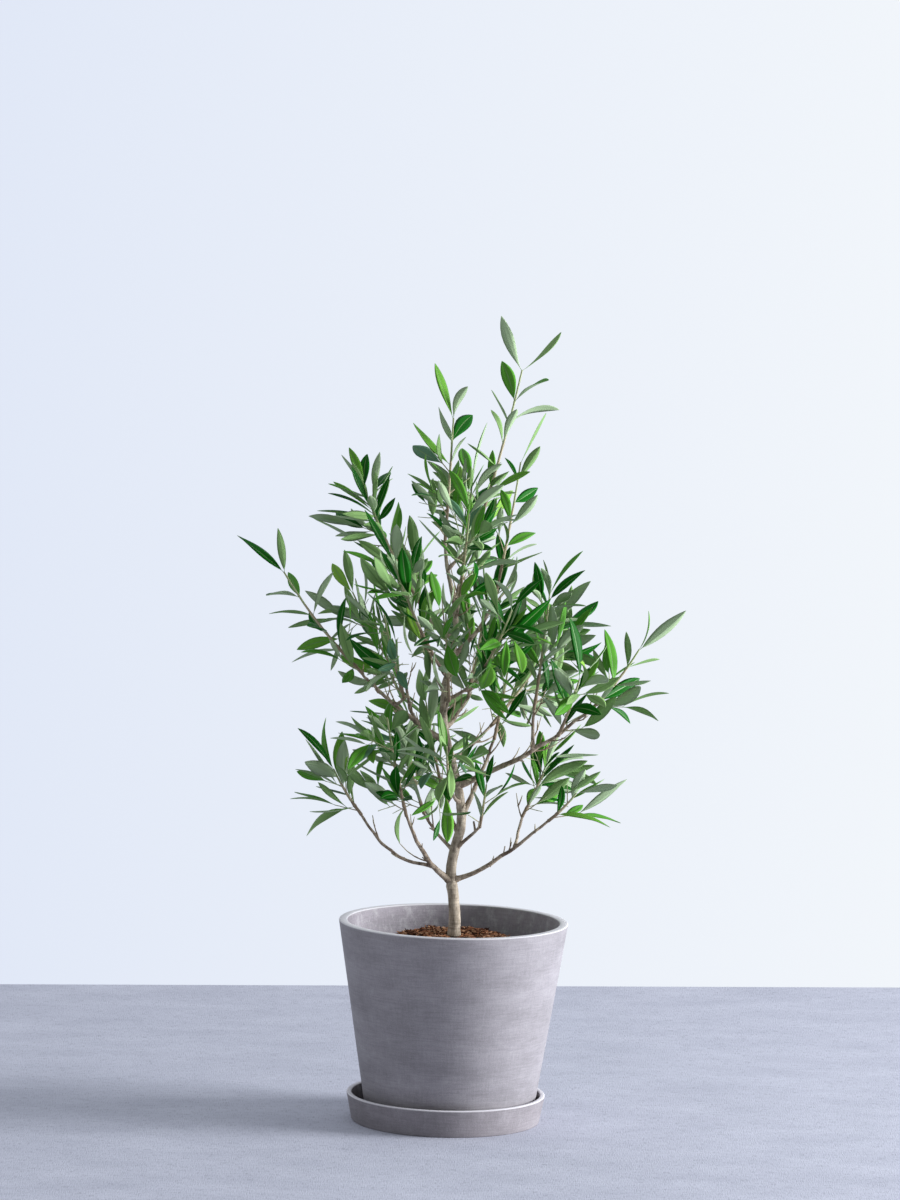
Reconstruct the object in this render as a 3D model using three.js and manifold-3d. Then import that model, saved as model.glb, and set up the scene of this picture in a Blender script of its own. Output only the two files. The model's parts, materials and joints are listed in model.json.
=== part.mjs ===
// A young olive tree in a round tapered pot that stands in a saucer.
//
// Millimetres, +Z up, +X to the right of the tree's front and +Y to its back. The origin is the centre
// of the saucer's flat underside. The tree is grown in a frame of its own, whose origin is the trunk's
// foot on the mulch: each limb is told by where it leaves its parent and where its tip stands, and each
// mass of foliage grows from one stem by a seeded rule and keeps to the space nearest to that stem.
import * as THREE from 'three';
import { mergeVertices } from 'three/addons/utils/BufferGeometryUtils.js';
import Module from 'manifold-3d';

const wasm = await Module();
wasm.setup();

// ---- Driving dimensions -------------------------------------------------------------------------

const GAP = 0.3; // air between two pieces that meet
const UP = new THREE.Vector3(0, 0, 1);
const NEARLY_NONE = 0.01;

const SAUCER = { rimRadius: 130, footRadius: 123.5, height: 36, wall: 6.5, floor: 5, edge: 1.5 };
const POT = { rimRadius: 150, height: 258, wall: 11, floor: 14, taper: 0.156, edge: 1.5 };
const POT_SHIFT = 5; // the pot stands a little right of the saucer's centre
const POT_FOOT = SAUCER.floor + GAP;
const POT_SIDES = 32;

// Depths below the pot's rim: the soil, and the mulch that is heaped on the root ball round the trunk.
const SOIL_DEPTH = 48;
const MULCH = { depth: 20, radius: 78, shoulder: 62, slope: 1, dip: 6, level: 17 };
const EARTH_SIDES = 24;

const FOOT = new THREE.Vector3(6, 0, POT_FOOT + POT.height - MULCH.depth + GAP);
const TRUNK = {
  height: 516,
  tip: 1.9,
  swell: 5.7,
  power: 0.8,
  flare: 1.9,
  flareHeight: 9,
  sides: 7,
  steps: 18,
};

// Where the trunk bends, from its foot up. It runs smoothly from each of these places to the next.
const TRUNK_BENDS = [
  { height: 0, x: 0, y: 0 },
  { height: 30, x: 0, y: 0 },
  { height: 88, x: -6, y: 3 },
  { height: 152, x: 6, y: 0 },
  { height: 300, x: -21, y: -4 },
  { height: 405, x: -7, y: 5 },
  { height: TRUNK.height, x: -24, y: 2 },
];

const BOUGH = { sides: 5, steps: 4, tip: 1.7, sweep: 0.06, wander: 0.012 };

// A bough leaves its parent (on) at a share (fork) of the parent's length, with this radius (root).
// Tips are told as reach out from the trunk's foot, turn round it in degrees from +X towards +Y, and
// height above it: first the bough's own tip, then that of the foliage stem that grows on from it.
// Spread is the length of the stem's longest side shoots, and shootsTo how far up the stem they reach.
const LIMBS = [
  { name: 'left_low', on: 'trunk', fork: 0.135, root: 4.2, sweep: 0.13,
    bough: [70, 200, 160], stem: [104, 206, 290], spread: 54 },
  { name: 'left_spreading', on: 'left_low', fork: 0.3, root: 2.3, sweep: 0.16,
    bough: [127, 171, 154], stem: [164, 172, 212], spread: 32 },
  { name: 'left_short', on: 'trunk', fork: 0.215, root: 2.4,
    bough: [50, 150, 157], stem: [96, 141, 262], spread: 52 },
  { name: 'right_low', on: 'trunk', fork: 0.14, root: 3.3,
    bough: [122, 348, 158], stem: [158, 347, 196], spread: 34 },
  { name: 'right_low_riser', on: 'right_low', fork: 0.62, root: 2.0,
    bough: [86, 6, 158], stem: [124, 12, 240], spread: 50 },
  { name: 'right_stub', on: 'trunk', fork: 0.22, root: 2.6,
    bough: [33, 335, 146], stem: [50, 318, 204], spread: 34 },
  { name: 'front_low', on: 'trunk', fork: 0.34, root: 2.4,
    bough: [34, 252, 195], stem: [112, 262, 262], spread: 50 },
  { name: 'back_low', on: 'trunk', fork: 0.26, root: 2.8,
    bough: [60, 112, 195], stem: [143, 108, 290], spread: 56 },
  { name: 'leader_right', on: 'trunk', fork: 0.3, root: 3.8,
    bough: [50, 22, 258], stem: [72, 30, 348], spread: 46 },
  { name: 'left', on: 'trunk', fork: 0.495, root: 4.0,
    bough: [128, 187, 343], stem: [233, 187, 474], spread: 44, shootsTo: 0.3 },
  { name: 'left_inner', on: 'left', fork: 0.6, root: 2.2,
    bough: [80, 205, 316], stem: [118, 212, 425], spread: 58 },
  { name: 'left_back', on: 'left', fork: 0.35, root: 2.4,
    bough: [82, 150, 322], stem: [163, 152, 440], spread: 52 },
  { name: 'right', on: 'trunk', fork: 0.385, root: 4.2,
    bough: [174, 350, 306], stem: [234, 350, 386], spread: 34, shootsTo: 0.4 },
  { name: 'right_riser', on: 'right', fork: 0.53, root: 2.5,
    bough: [97, 358, 300], stem: [114, 3, 452], spread: 50 },
  { name: 'right_front', on: 'right', fork: 0.74, root: 2.2,
    bough: [136, 341, 272], stem: [172, 333, 350], spread: 50 },
  { name: 'back_right', on: 'trunk', fork: 0.45, root: 3.0,
    bough: [60, 46, 272], stem: [177, 42, 400], spread: 52 },
  { name: 'front', on: 'trunk', fork: 0.56, root: 2.6,
    bough: [34, 246, 312], stem: [86, 256, 430], spread: 54 },
  { name: 'front_right', on: 'trunk', fork: 0.6, root: 2.8,
    bough: [38, 302, 338], stem: [135, 298, 440], spread: 58 },
  { name: 'front_left', on: 'trunk', fork: 0.66, root: 2.6,
    bough: [42, 212, 370], stem: [118, 222, 492], spread: 58 },
  { name: 'back', on: 'trunk', fork: 0.53, root: 3.0,
    bough: [45, 76, 308], stem: [157, 78, 430], spread: 58 },
  { name: 'back_left', on: 'trunk', fork: 0.62, root: 2.8,
    bough: [50, 134, 352], stem: [150, 130, 486], spread: 60 },
  { name: 'upper_left', on: 'trunk', fork: 0.75, root: 2.8,
    bough: [52, 170, 428], stem: [134, 172, 585], spread: 58, shootsTo: 0.7 },
  { name: 'upper_right', on: 'trunk', fork: 0.71, root: 3.2, sweep: 0.12,
    bough: [45, 20, 440], stem: [77, 21, 620], spread: 46, shootsTo: 0.4 },
  { name: 'upper_front', on: 'trunk', fork: 0.8, root: 2.4,
    bough: [32, 262, 440], stem: [90, 274, 560], spread: 54 },
  { name: 'upper_back', on: 'trunk', fork: 0.85, root: 2.2,
    bough: [30, 92, 468], stem: [92, 84, 590], spread: 54 },
  { name: 'top_right', on: 'trunk', fork: 0.93, root: 2.0,
    bough: [16, 325, 520], stem: [72, 347, 742], spread: 40, shootsTo: 0.25 },
];
const TOP = { name: 'top_left', stem: [18, 160, 676], spread: 50, shootsTo: 0.6 };

// The growth rule. A mass has one stem, which bears side shoots in a spiral and leaves in opposite
// pairs, each pair turned a quarter round from the last. Side shoots bear such pairs too.
const STEM = {
  root: 2.3,
  tip: 1.3,
  steps: 5,
  sweep: 0.05,
  firstNode: 14,
  internode: 29,
  leafyFrom: 0.12,
  firstShoot: 7,
  shootEvery: 28,
  shootsTo: 0.8,
  shootLengths: [0.8, 1.15],
  shootTaper: 0.4,
  spiral: 137,
};
const SIDE = {
  root: 1.1,
  tip: 0.9,
  steps: 1,
  sweep: 0,
  firstNode: 16,
  internode: 23,
  leafyFrom: 0,
  lean: [38, 58],
};
const SHOOT_LENGTHS = [1, 0.75, 0.5]; // tried in turn, as parts of the length that was drawn
const SHOOT_STATIONS = [0.3, 0.55, 0.8, 1];
const TWIG_SIDES = 3;
const LEAF = {
  length: [52, 84],
  slimness: [0.26, 0.38],
  thickness: 0.02,
  lean: [38, 72],
  tipLean: [14, 40],
  roll: 50,
  skyward: 0.6,
  tucked: 0.72,
  tuckedIn: 0.35,
  foot: 0.02,
};
const LEAF_STATIONS = [0.15, 0.35, 0.5, 0.65, 0.85, 1];
const LAST_NODE = 0.88;
const TURN_JITTER = 22;
const ROOTING = { back: 1.3, out: 0.2 };
const SPACE_MARGIN = 1.2;
const LIMB_CLEARANCE = 0.8;
const CROSSING_MARGIN = 0.3;
const SEED_STEP = 7919;
const FIRST_MASS_SEED = 41;

const CLAY = { color: 0x8e8b92, roughness: 0.85, metalness: 0 };
const EARTH = { color: 0x4a382e, roughness: 1, metalness: 0 };
const COIR = { color: 0x6e4f3c, roughness: 1, metalness: 0 };
const BARK = { color: 0x7a6f62, roughness: 0.9, metalness: 0 };
const LEAVES = { color: 0x3f6b3a, roughness: 0.5, metalness: 0 };

// ---- Small helpers ------------------------------------------------------------------------------

const radians = THREE.MathUtils.degToRad;
const between = ([low, high], share) => low + (high - low) * share;

function seeded(seed) {
  let state = seed;
  return () => {
    state = (state * 48271) % 2147483647;
    return state / 2147483647;
  };
}

function spot([reach, turn, height]) {
  const angle = radians(turn);
  return new THREE.Vector3(reach * Math.cos(angle), reach * Math.sin(angle), height);
}

// The part of a vector that is square to a direction, at unit length.
function squareTo(vector, direction) {
  return vector.clone().addScaledVector(direction, -vector.dot(direction)).normalize();
}

// Square to a heading, and as good as level unless the heading is upright.
function levelAcross(heading) {
  return squareTo(heading.clone().cross(UP).addScaledVector(UP, NEARLY_NONE), heading);
}

function toSolid(geometry) {
  geometry.deleteAttribute('normal');
  geometry.deleteAttribute('uv');
  const welded = mergeVertices(geometry);
  const triVerts = Uint32Array.from(welded.index.array);
  const vertProperties = welded.attributes.position.array;
  return new wasm.Manifold(new wasm.Mesh({ numProp: 3, vertProperties, triVerts }));
}

function toGeometry(solid) {
  const mesh = solid.getMesh();
  const geometry = new THREE.BufferGeometry();
  geometry.setAttribute('position', new THREE.BufferAttribute(mesh.vertProperties, 3));
  geometry.setIndex(new THREE.BufferAttribute(mesh.triVerts, 1));
  geometry.computeVertexNormals();
  return geometry;
}

function namedMesh(name, geometry, finish) {
  const mesh = new THREE.Mesh(geometry, new THREE.MeshStandardMaterial(finish));
  mesh.name = name;
  return mesh;
}

// ---- Courses: the line that a limb or twig follows, as a row of points ----------------------------

function pointOn(course, share) {
  const place = share * (course.length - 1);
  const step = Math.min(Math.floor(place), course.length - 2);
  return course[step].clone().lerp(course[step + 1], place - step);
}

function headingOn(course, share) {
  const step = Math.min(Math.floor(share * (course.length - 1)), course.length - 2);
  return course[step + 1].clone().sub(course[step]).normalize();
}

function headingThrough(course, index) {
  const [before, after] = [Math.max(index - 1, 0), Math.min(index + 1, course.length - 1)];
  return course[after].clone().sub(course[before]).normalize();
}

function lengthOf(course) {
  return course.slice(1).reduce((sum, point, i) => sum + point.distanceTo(course[i]), 0);
}

// A line that sags below the straight way to its tip, so that it ends steeper than it starts.
function sweptCourse(start, tip, sweep, steps) {
  const chord = tip.clone().sub(start);
  const along = chord.clone().normalize();
  const down = along.clone().multiplyScalar(along.z).sub(UP);
  const middle = start.clone().lerp(tip, 0.5).addScaledVector(down, 2 * sweep * chord.length());
  return new THREE.QuadraticBezierCurve3(start, middle, tip).getPoints(steps);
}

function wanderingCourse(start, tip, sweep, steps, wander, random) {
  const course = sweptCourse(start, tip, sweep, steps);
  const drift = wander * start.distanceTo(tip);
  for (const point of course.slice(1, -1)) {
    const [x, y, z] = [random(), random(), random()].map((draw) => (2 * draw - 1) * drift);
    point.add(new THREE.Vector3(x, y, z));
  }
  return course;
}

function trunkPoint(height) {
  const above = Math.max(1, TRUNK_BENDS.findIndex((bend) => bend.height >= height));
  const [from, to] = [TRUNK_BENDS[above - 1], TRUNK_BENDS[above]];
  const ease = THREE.MathUtils.smoothstep(height, from.height, to.height);
  return new THREE.Vector3(between([from.x, to.x], ease), between([from.y, to.y], ease), height);
}

function distanceToCourse(point, course) {
  const nearest = new THREE.Vector3();
  const line = new THREE.Line3();
  let best = Infinity;
  for (let step = 0; step < course.length - 1; step += 1) {
    line.set(course[step], course[step + 1]).closestPointToPoint(point, true, nearest);
    best = Math.min(best, nearest.distanceTo(point));
  }
  return best;
}

// ---- Solids along a course ----------------------------------------------------------------------

// A closed cylinder bent along the course, with a radius of its own at each step. Its root is square
// to the course, or to another heading where it has to lie flat against something.
function tube(course, radiusAt, sides, rootHeading = headingOn(course, 0)) {
  const steps = course.length - 1;
  const geometry = new THREE.CylinderGeometry(1, 1, 1, sides, steps);
  const chord = course[steps].clone().sub(course[0]);
  const across = chord.clone().cross(UP);
  const position = geometry.attributes.position;
  for (let i = 0; i < position.count; i += 1) {
    const ring = Math.round((position.getY(i) + 0.5) * steps);
    const tangent = ring === 0 ? rootHeading : headingThrough(course, ring);
    const side = squareTo(across, tangent);
    const normal = side.clone().cross(tangent);
    const radius = radiusAt(ring / steps);
    const place = course[ring].clone();
    place.addScaledVector(side, position.getX(i) * radius);
    place.addScaledVector(normal, position.getZ(i) * radius);
    position.setXYZ(i, place.x, place.y, place.z);
  }
  return geometry;
}

const tapering = (root, tip) => (share) => root + (tip - root) * share;

function leafSolid(leaf) {
  const geometry = new THREE.OctahedronGeometry(1);
  geometry.scale(leaf.length / 2, leaf.width / 2, leaf.length * LEAF.thickness / 2);
  const side = leaf.face.clone().cross(leaf.heading);
  const stance = new THREE.Matrix4().makeBasis(leaf.heading, side, leaf.face);
  stance.setPosition(leaf.base.clone().addScaledVector(leaf.heading, leaf.length / 2));
  geometry.applyMatrix4(stance);
  return toSolid(geometry);
}

// ---- Limbs --------------------------------------------------------------------------------------

function trunkLimb() {
  const course = [];
  for (let step = 0; step <= TRUNK.steps; step += 1) {
    course.push(trunkPoint(TRUNK.height * step / TRUNK.steps));
  }
  const radiusAt = (share) => {
    const flare = TRUNK.flare * Math.exp(-share * TRUNK.height / TRUNK.flareHeight);
    return TRUNK.tip + TRUNK.swell * (1 - share) ** TRUNK.power + flare;
  };
  return { name: 'trunk', course, radiusAt, thickness: radiusAt(0.1), sides: TRUNK.sides };
}

function boughLimb(row, parent, random) {
  const start = pointOn(parent.course, row.fork);
  const sweep = row.sweep ?? BOUGH.sweep;
  const course = wanderingCourse(start, spot(row.bough), sweep, BOUGH.steps, BOUGH.wander, random);
  const radiusAt = tapering(row.root, BOUGH.tip);
  return { name: row.name, parent, course, radiusAt, thickness: row.root, sides: BOUGH.sides };
}

function limbSolid(limb) {
  return toSolid(tube(limb.course, limb.radiusAt, limb.sides));
}

// The limb and the air round it, which no bough that grows from the limb reaches into.
function limbWithAir(limb) {
  return toSolid(tube(limb.course, (share) => limb.radiusAt(share) + GAP, limb.sides));
}

// A bough starts on its parent's centre line and is scooped out where the parent runs.
function boughGeometry(limb) {
  return toGeometry(limbSolid(limb).subtract(limbWithAir(limb.parent)));
}

function growLimbs() {
  const limbs = new Map([['trunk', trunkLimb()]]);
  LIMBS.forEach((row, index) => {
    const random = seeded((index + 1) * SEED_STEP);
    limbs.set(row.name, boughLimb(row, limbs.get(row.on), random));
  });
  return limbs;
}

// ---- Masses of foliage ----------------------------------------------------------------------------

// The stem's root faces the limb's tip across the gap.
function massStem(row, limb) {
  const rootHeading = headingOn(limb.course, 1);
  const start = limb.course.at(-1).clone().addScaledVector(rootHeading, GAP);
  return { row, rootHeading, course: sweptCourse(start, spot(row.stem), STEM.sweep, STEM.steps) };
}

// Whether a point lies in the mass's own space: nearest to its stem, and clear of every limb.
function isFree(point, mass, clearance) {
  const own = distanceToCourse(point, mass.stem.course) + SPACE_MARGIN;
  const others = mass.plant.stems.filter((stem) => stem !== mass.stem);
  if (others.some((stem) => distanceToCourse(point, stem.course) < own)) return false;
  const { limbs } = mass.plant;
  return limbs.every((limb) => distanceToCourse(point, limb.course) > limb.thickness + clearance);
}

const leafSide = (leaf) => leaf.face.clone().cross(leaf.heading);
const leafPoint = (leaf, share) => leaf.base.clone().addScaledVector(leaf.heading, leaf.length * share);
const leafReach = (leaf, share) => leaf.width / 2 * (1 - Math.abs(2 * share - 1));

function leafStaysInSpace(leaf, mass) {
  const side = leafSide(leaf);
  for (const share of LEAF_STATIONS) {
    const reach = leafReach(leaf, share);
    const middle = leafPoint(leaf, share);
    if (!isFree(middle, mass, reach + LIMB_CLEARANCE)) return false;
    const edges = [-reach, reach].map((offset) => middle.clone().addScaledVector(side, offset));
    if (!edges.every((edge) => isFree(edge, mass, LIMB_CLEARANCE))) return false;
  }
  return true;
}

// The straight lines that tell where a leaf is: its midrib and its four edges.
function leafLines(leaf) {
  const [base, waist, tip] = [LEAF.foot, 0.5, 1].map((share) => leafPoint(leaf, share));
  const side = leafSide(leaf).multiplyScalar(leaf.width / 2);
  const [left, right] = [waist.clone().sub(side), waist.clone().add(side)];
  return [[base, tip], [base, left], [left, tip], [base, right], [right, tip]];
}

function pierces([from, to], leaf) {
  const offset = leaf.face.dot(leaf.base);
  const [before, after] = [leaf.face.dot(from) - offset, leaf.face.dot(to) - offset];
  if (before * after > 0) return false;
  const place = from.clone().lerp(to, before / (before - after)).sub(leaf.base);
  const along = place.dot(leaf.heading) / leaf.length;
  return Math.abs(place.dot(leafSide(leaf))) < leafReach(leaf, along) + CROSSING_MARGIN;
}

function leavesCross(one, other) {
  if (leafPoint(one, 0.5).distanceTo(leafPoint(other, 0.5)) > (one.length + other.length) / 2) return false;
  const crossing = (leaf, crossed) => leafLines(leaf).some((line) => pierces(line, crossed));
  return crossing(one, other) || crossing(other, one);
}

function leafFits(leaf, mass) {
  const otherTwigs = mass.twigs.filter((twig) => twig !== leaf.twig);
  if (otherTwigs.some((twig) => pierces([twig.course[0], twig.course.at(-1)], leaf))) return false;
  if (mass.leaves.some((other) => leavesCross(leaf, other))) return false;
  return leafStaysInSpace(leaf, mass);
}

// A leaf that leans out from its twig and looks up along it, rooted just off the twig's centre line.
function drawnLeaf(twig, share, outward, lean, random) {
  const angle = radians(between(lean, random()));
  const length = between(LEAF.length, random());
  const width = length * between(LEAF.slimness, random());
  const roll = radians((2 * random() - 1) * LEAF.roll);
  const along = headingOn(twig.course, share);
  const heading = along.clone().multiplyScalar(Math.cos(angle)).addScaledVector(outward, Math.sin(angle));
  const face = squareTo(along.clone().addScaledVector(UP, LEAF.skyward), heading);
  face.applyAxisAngle(heading, roll);
  const base = rootPoint(twig.course, share, outward);
  return { twig, base, heading, face, length, width };
}

// The same leaf shorter and closer to its twig.
function tuckedLeaf(leaf, share) {
  const along = headingOn(leaf.twig.course, share);
  const heading = leaf.heading.clone().lerp(along, LEAF.tuckedIn).normalize();
  return {
    ...leaf,
    heading,
    face: squareTo(leaf.face, heading),
    length: leaf.length * LEAF.tucked,
    width: leaf.width * LEAF.tucked,
  };
}

function addLeafPair(twig, share, spin, lean, mass) {
  const along = headingOn(twig.course, share);
  const across = levelAcross(along);
  for (const half of [0, 180]) {
    const turn = radians(spin + half + (2 * mass.random() - 1) * TURN_JITTER);
    const outward = across.clone().applyAxisAngle(along, turn);
    const leaf = drawnLeaf(twig, share, outward, lean, mass.random);
    const fitting = [leaf, tuckedLeaf(leaf, share)].find((choice) => leafFits(choice, mass));
    if (fitting) mass.leaves.push(fitting);
  }
}

// Where what grows outward from a twig starts: inside the twig, just off its centre line.
function rootPoint(course, share, outward) {
  const along = headingOn(course, share);
  return pointOn(course, share).addScaledVector(along, -ROOTING.back).addScaledVector(outward, ROOTING.out);
}

function nodeShares(length, firstNode, internode) {
  const count = Math.max(0, Math.floor((length - firstNode) / internode) + 1);
  return Array.from({ length: count }, (_, i) => (firstNode + i * internode) / length);
}

// Opposite pairs along the twig, each a quarter turn from the last, and a pair that ends it.
function addLeaves(twig, mass) {
  const start = mass.random() * 180;
  const { leafyFrom, firstNode, internode } = twig.rule;
  const shares = nodeShares(lengthOf(twig.course), firstNode, internode);
  const leafy = shares.filter((share) => share > leafyFrom && share < LAST_NODE);
  leafy.forEach((share, i) => addLeafPair(twig, share, start + 90 * i, LEAF.lean, mass));
  addLeafPair(twig, 1, start + 90 * leafy.length, LEAF.tipLean, mass);
}

// The longest side shoot, of three lengths, that stays in the mass's space.
function addSideShoot(base, along, outward, length, mass) {
  const lean = radians(between(SIDE.lean, mass.random()));
  const way = along.clone().multiplyScalar(Math.cos(lean)).addScaledVector(outward, Math.sin(lean));
  for (const part of SHOOT_LENGTHS) {
    const tip = base.clone().addScaledVector(way, length * part);
    const course = sweptCourse(base, tip, SIDE.sweep, SIDE.steps);
    const stations = SHOOT_STATIONS.map((share) => pointOn(course, share));
    if (stations.every((point) => isFree(point, mass, SIDE.root + LIMB_CLEARANCE))) {
      mass.twigs.push({ course, rule: SIDE });
      return;
    }
  }
}

function addSideShoots(mass) {
  const { course } = mass.stem;
  const start = mass.random() * 180;
  const shares = nodeShares(lengthOf(course), STEM.firstShoot, STEM.shootEvery);
  const shootsTo = mass.stem.row.shootsTo ?? STEM.shootsTo;
  shares.filter((share) => share < shootsTo).forEach((share, i) => {
    const along = headingOn(course, share);
    const across = levelAcross(along);
    const turn = start + STEM.spiral * i + (2 * mass.random() - 1) * TURN_JITTER;
    const outward = across.clone().applyAxisAngle(along, radians(turn));
    const drawn = between(STEM.shootLengths, mass.random());
    const length = mass.stem.row.spread * (1 - STEM.shootTaper * share) * drawn;
    addSideShoot(rootPoint(course, share, outward), along, outward, length, mass);
  });
}

function growMass(stem, plant, seed) {
  const twigs = [{ course: stem.course, rule: STEM, rootHeading: stem.rootHeading }];
  const mass = { stem, plant, random: seeded(seed), twigs, leaves: [] };
  addSideShoots(mass);
  mass.twigs.forEach((twig) => addLeaves(twig, mass));
  return mass;
}

function twigSolid({ course, rule, rootHeading }) {
  return toSolid(tube(course, tapering(rule.root, rule.tip), TWIG_SIDES, rootHeading));
}

// All the mass's twigs and leaves as one solid: what stays loose is dropped, a sealed hollow is filled.
function massGeometry(mass) {
  const twigSolids = mass.twigs.map(twigSolid);
  const solids = [...twigSolids, ...mass.leaves.map(leafSolid)];
  const joined = solids.reduce((whole, solid) => whole.add(solid));
  const bodies = joined.decompose().sort((a, b) => b.volume() - a.volume());
  return toGeometry(bodies[0]);
}

// ---- Pot, saucer and what fills the pot -----------------------------------------------------------

function turned(profile, sides) {
  const points = profile.map(([radius, height]) => new THREE.Vector2(radius, height));
  const geometry = new THREE.LatheGeometry(points, sides);
  geometry.rotateX(Math.PI / 2);
  return geometry;
}

const potRadius = (depth) => POT.rimRadius - POT.taper * depth;

function saucerGeometry() {
  const { rimRadius, footRadius, height, wall, floor, edge } = SAUCER;
  const slope = (rimRadius - footRadius) / height;
  const inner = rimRadius - wall;
  return turned([
    [0, 0],
    [footRadius - edge, 0],
    [footRadius, edge],
    [rimRadius, height - edge],
    [rimRadius - edge, height],
    [inner + edge, height],
    [inner, height - edge],
    [inner - slope * (height - floor), floor],
    [0, floor],
  ], POT_SIDES);
}

function potGeometry() {
  const { height, wall, floor, edge } = POT;
  return turned([
    [0, 0],
    [potRadius(height) - edge, 0],
    [potRadius(height), edge],
    [potRadius(edge), height - edge],
    [potRadius(0) - edge, height],
    [potRadius(0) - wall + edge, height],
    [potRadius(edge) - wall, height - edge],
    [potRadius(height - floor) - wall, floor],
    [0, floor],
  ], POT_SIDES);
}

function soilGeometry() {
  const foot = POT.floor + GAP;
  const top = POT.height - SOIL_DEPTH;
  const inside = (height) => potRadius(POT.height - height) - POT.wall - 3 * GAP;
  return turned([
    [0, foot],
    [inside(foot), foot],
    [inside(top), top],
    [0, top],
  ], EARTH_SIDES);
}

function mulchGeometry() {
  const foot = POT.height - SOIL_DEPTH + GAP;
  const top = POT.height - MULCH.depth;
  return turned([
    [0, foot],
    [MULCH.radius, foot],
    [MULCH.radius, top - MULCH.dip],
    [MULCH.shoulder, top - MULCH.slope],
    [MULCH.level, top],
    [0, top],
  ], EARTH_SIDES);
}

function potGroup() {
  const pot = new THREE.Group();
  pot.position.set(POT_SHIFT, 0, POT_FOOT);
  pot.add(namedMesh('pot', potGeometry(), CLAY));
  pot.add(namedMesh('soil', soilGeometry(), EARTH));
  pot.add(namedMesh('mulch', mulchGeometry(), COIR));
  return pot;
}

// ---- The tree -------------------------------------------------------------------------------------

function treeGroup() {
  const tree = new THREE.Group();
  tree.position.copy(FOOT);
  const limbs = growLimbs();
  const rows = [...LIMBS, TOP];
  const stems = rows.map((row) => massStem(row, limbs.get(row === TOP ? 'trunk' : row.name)));
  const plant = { stems, limbs: [...limbs.values()] };
  tree.add(namedMesh('trunk', toGeometry(limbSolid(limbs.get('trunk'))), BARK));
  for (const row of LIMBS) {
    tree.add(namedMesh(`bough_${row.name}`, boughGeometry(limbs.get(row.name)), BARK));
  }
  stems.forEach((stem, index) => {
    const mass = growMass(stem, plant, (index + FIRST_MASS_SEED) * SEED_STEP);
    tree.add(namedMesh(`foliage_${stem.row.name}`, massGeometry(mass), LEAVES));
  });
  return tree;
}

const group = new THREE.Group();
group.add(namedMesh('saucer', saucerGeometry(), CLAY));
group.add(potGroup());
group.add(treeGroup());

export default group;
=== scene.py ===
"""The looks of a young olive tree in a round pot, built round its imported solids.

The pot, saucer, soil and mulch are placed by the solids' boxes, in metres. The tree is grown again by the
rule of the part's source, in millimetres from the trunk's foot, and is then carried on to finer twigs and
more leaves in the same reach. It becomes metres of the shared frame where its meshes are made.
"""
import json
import math
from dataclasses import dataclass, field, replace

import bpy
import numpy as np
from mathutils import Matrix, Vector, noise

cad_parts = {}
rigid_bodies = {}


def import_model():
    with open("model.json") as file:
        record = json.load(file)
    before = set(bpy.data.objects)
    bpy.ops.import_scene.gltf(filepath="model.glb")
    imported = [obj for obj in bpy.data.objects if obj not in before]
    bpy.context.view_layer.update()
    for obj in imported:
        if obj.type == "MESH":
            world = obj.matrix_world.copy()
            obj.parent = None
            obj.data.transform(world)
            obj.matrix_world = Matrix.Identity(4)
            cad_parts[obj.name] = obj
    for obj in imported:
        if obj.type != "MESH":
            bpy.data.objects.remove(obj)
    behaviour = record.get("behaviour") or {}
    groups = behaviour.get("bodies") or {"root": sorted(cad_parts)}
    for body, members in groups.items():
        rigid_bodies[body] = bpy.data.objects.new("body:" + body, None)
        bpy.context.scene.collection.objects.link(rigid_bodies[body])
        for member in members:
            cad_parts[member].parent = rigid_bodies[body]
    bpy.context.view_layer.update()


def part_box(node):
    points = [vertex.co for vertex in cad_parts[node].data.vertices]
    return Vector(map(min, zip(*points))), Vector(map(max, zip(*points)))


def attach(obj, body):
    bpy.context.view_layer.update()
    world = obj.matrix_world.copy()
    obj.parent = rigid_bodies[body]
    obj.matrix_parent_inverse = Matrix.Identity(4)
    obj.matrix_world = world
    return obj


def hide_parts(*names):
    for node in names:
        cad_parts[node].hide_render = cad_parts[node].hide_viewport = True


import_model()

BODY = "root"
MM = 0.001
UP = np.array([0.0, 0.0, 1.0])

# ---- The limbs: the same rows as in the part's source ----

GAP = 0.3
FOOT_X = 6
TRUNK_HEIGHT = 516
TRUNK_STEPS = 18
TRUNK_TIP, TRUNK_SWELL, TRUNK_POWER = 1.9, 5.7, 0.8
TRUNK_FLARE, TRUNK_FLARE_HEIGHT = 1.9, 9
THICKNESS_AT = 0.1  # the share of the trunk where its radius stands for the whole trunk's
TRUNK_BENDS = [(0, 0, 0), (30, 0, 0), (88, -6, 3), (152, 6, 0), (300, -21, -4), (405, -7, 5), (516, -24, 2)]
BOUGH_STEPS = 4
BOUGH_TIP = 1.7
BOUGH_WANDER = 0.012


@dataclass
class Row:
    """One limb and its mass of foliage.

    It leaves the limb `on` at the share `fork` of it. The tips of the bough and of the mass's stem are told
    as (reach, turn, height). The stem has side shoots of about `spread` along the share `shoots_to` of it,
    and the share `fine` of the mass's twigs is carried on.
    """

    name: str
    on: str
    fork: float
    root: float
    bough: tuple
    stem: tuple
    spread: float
    sweep: float = 0.06
    shoots_to: float = 0.8
    fine: float = 1


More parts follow.
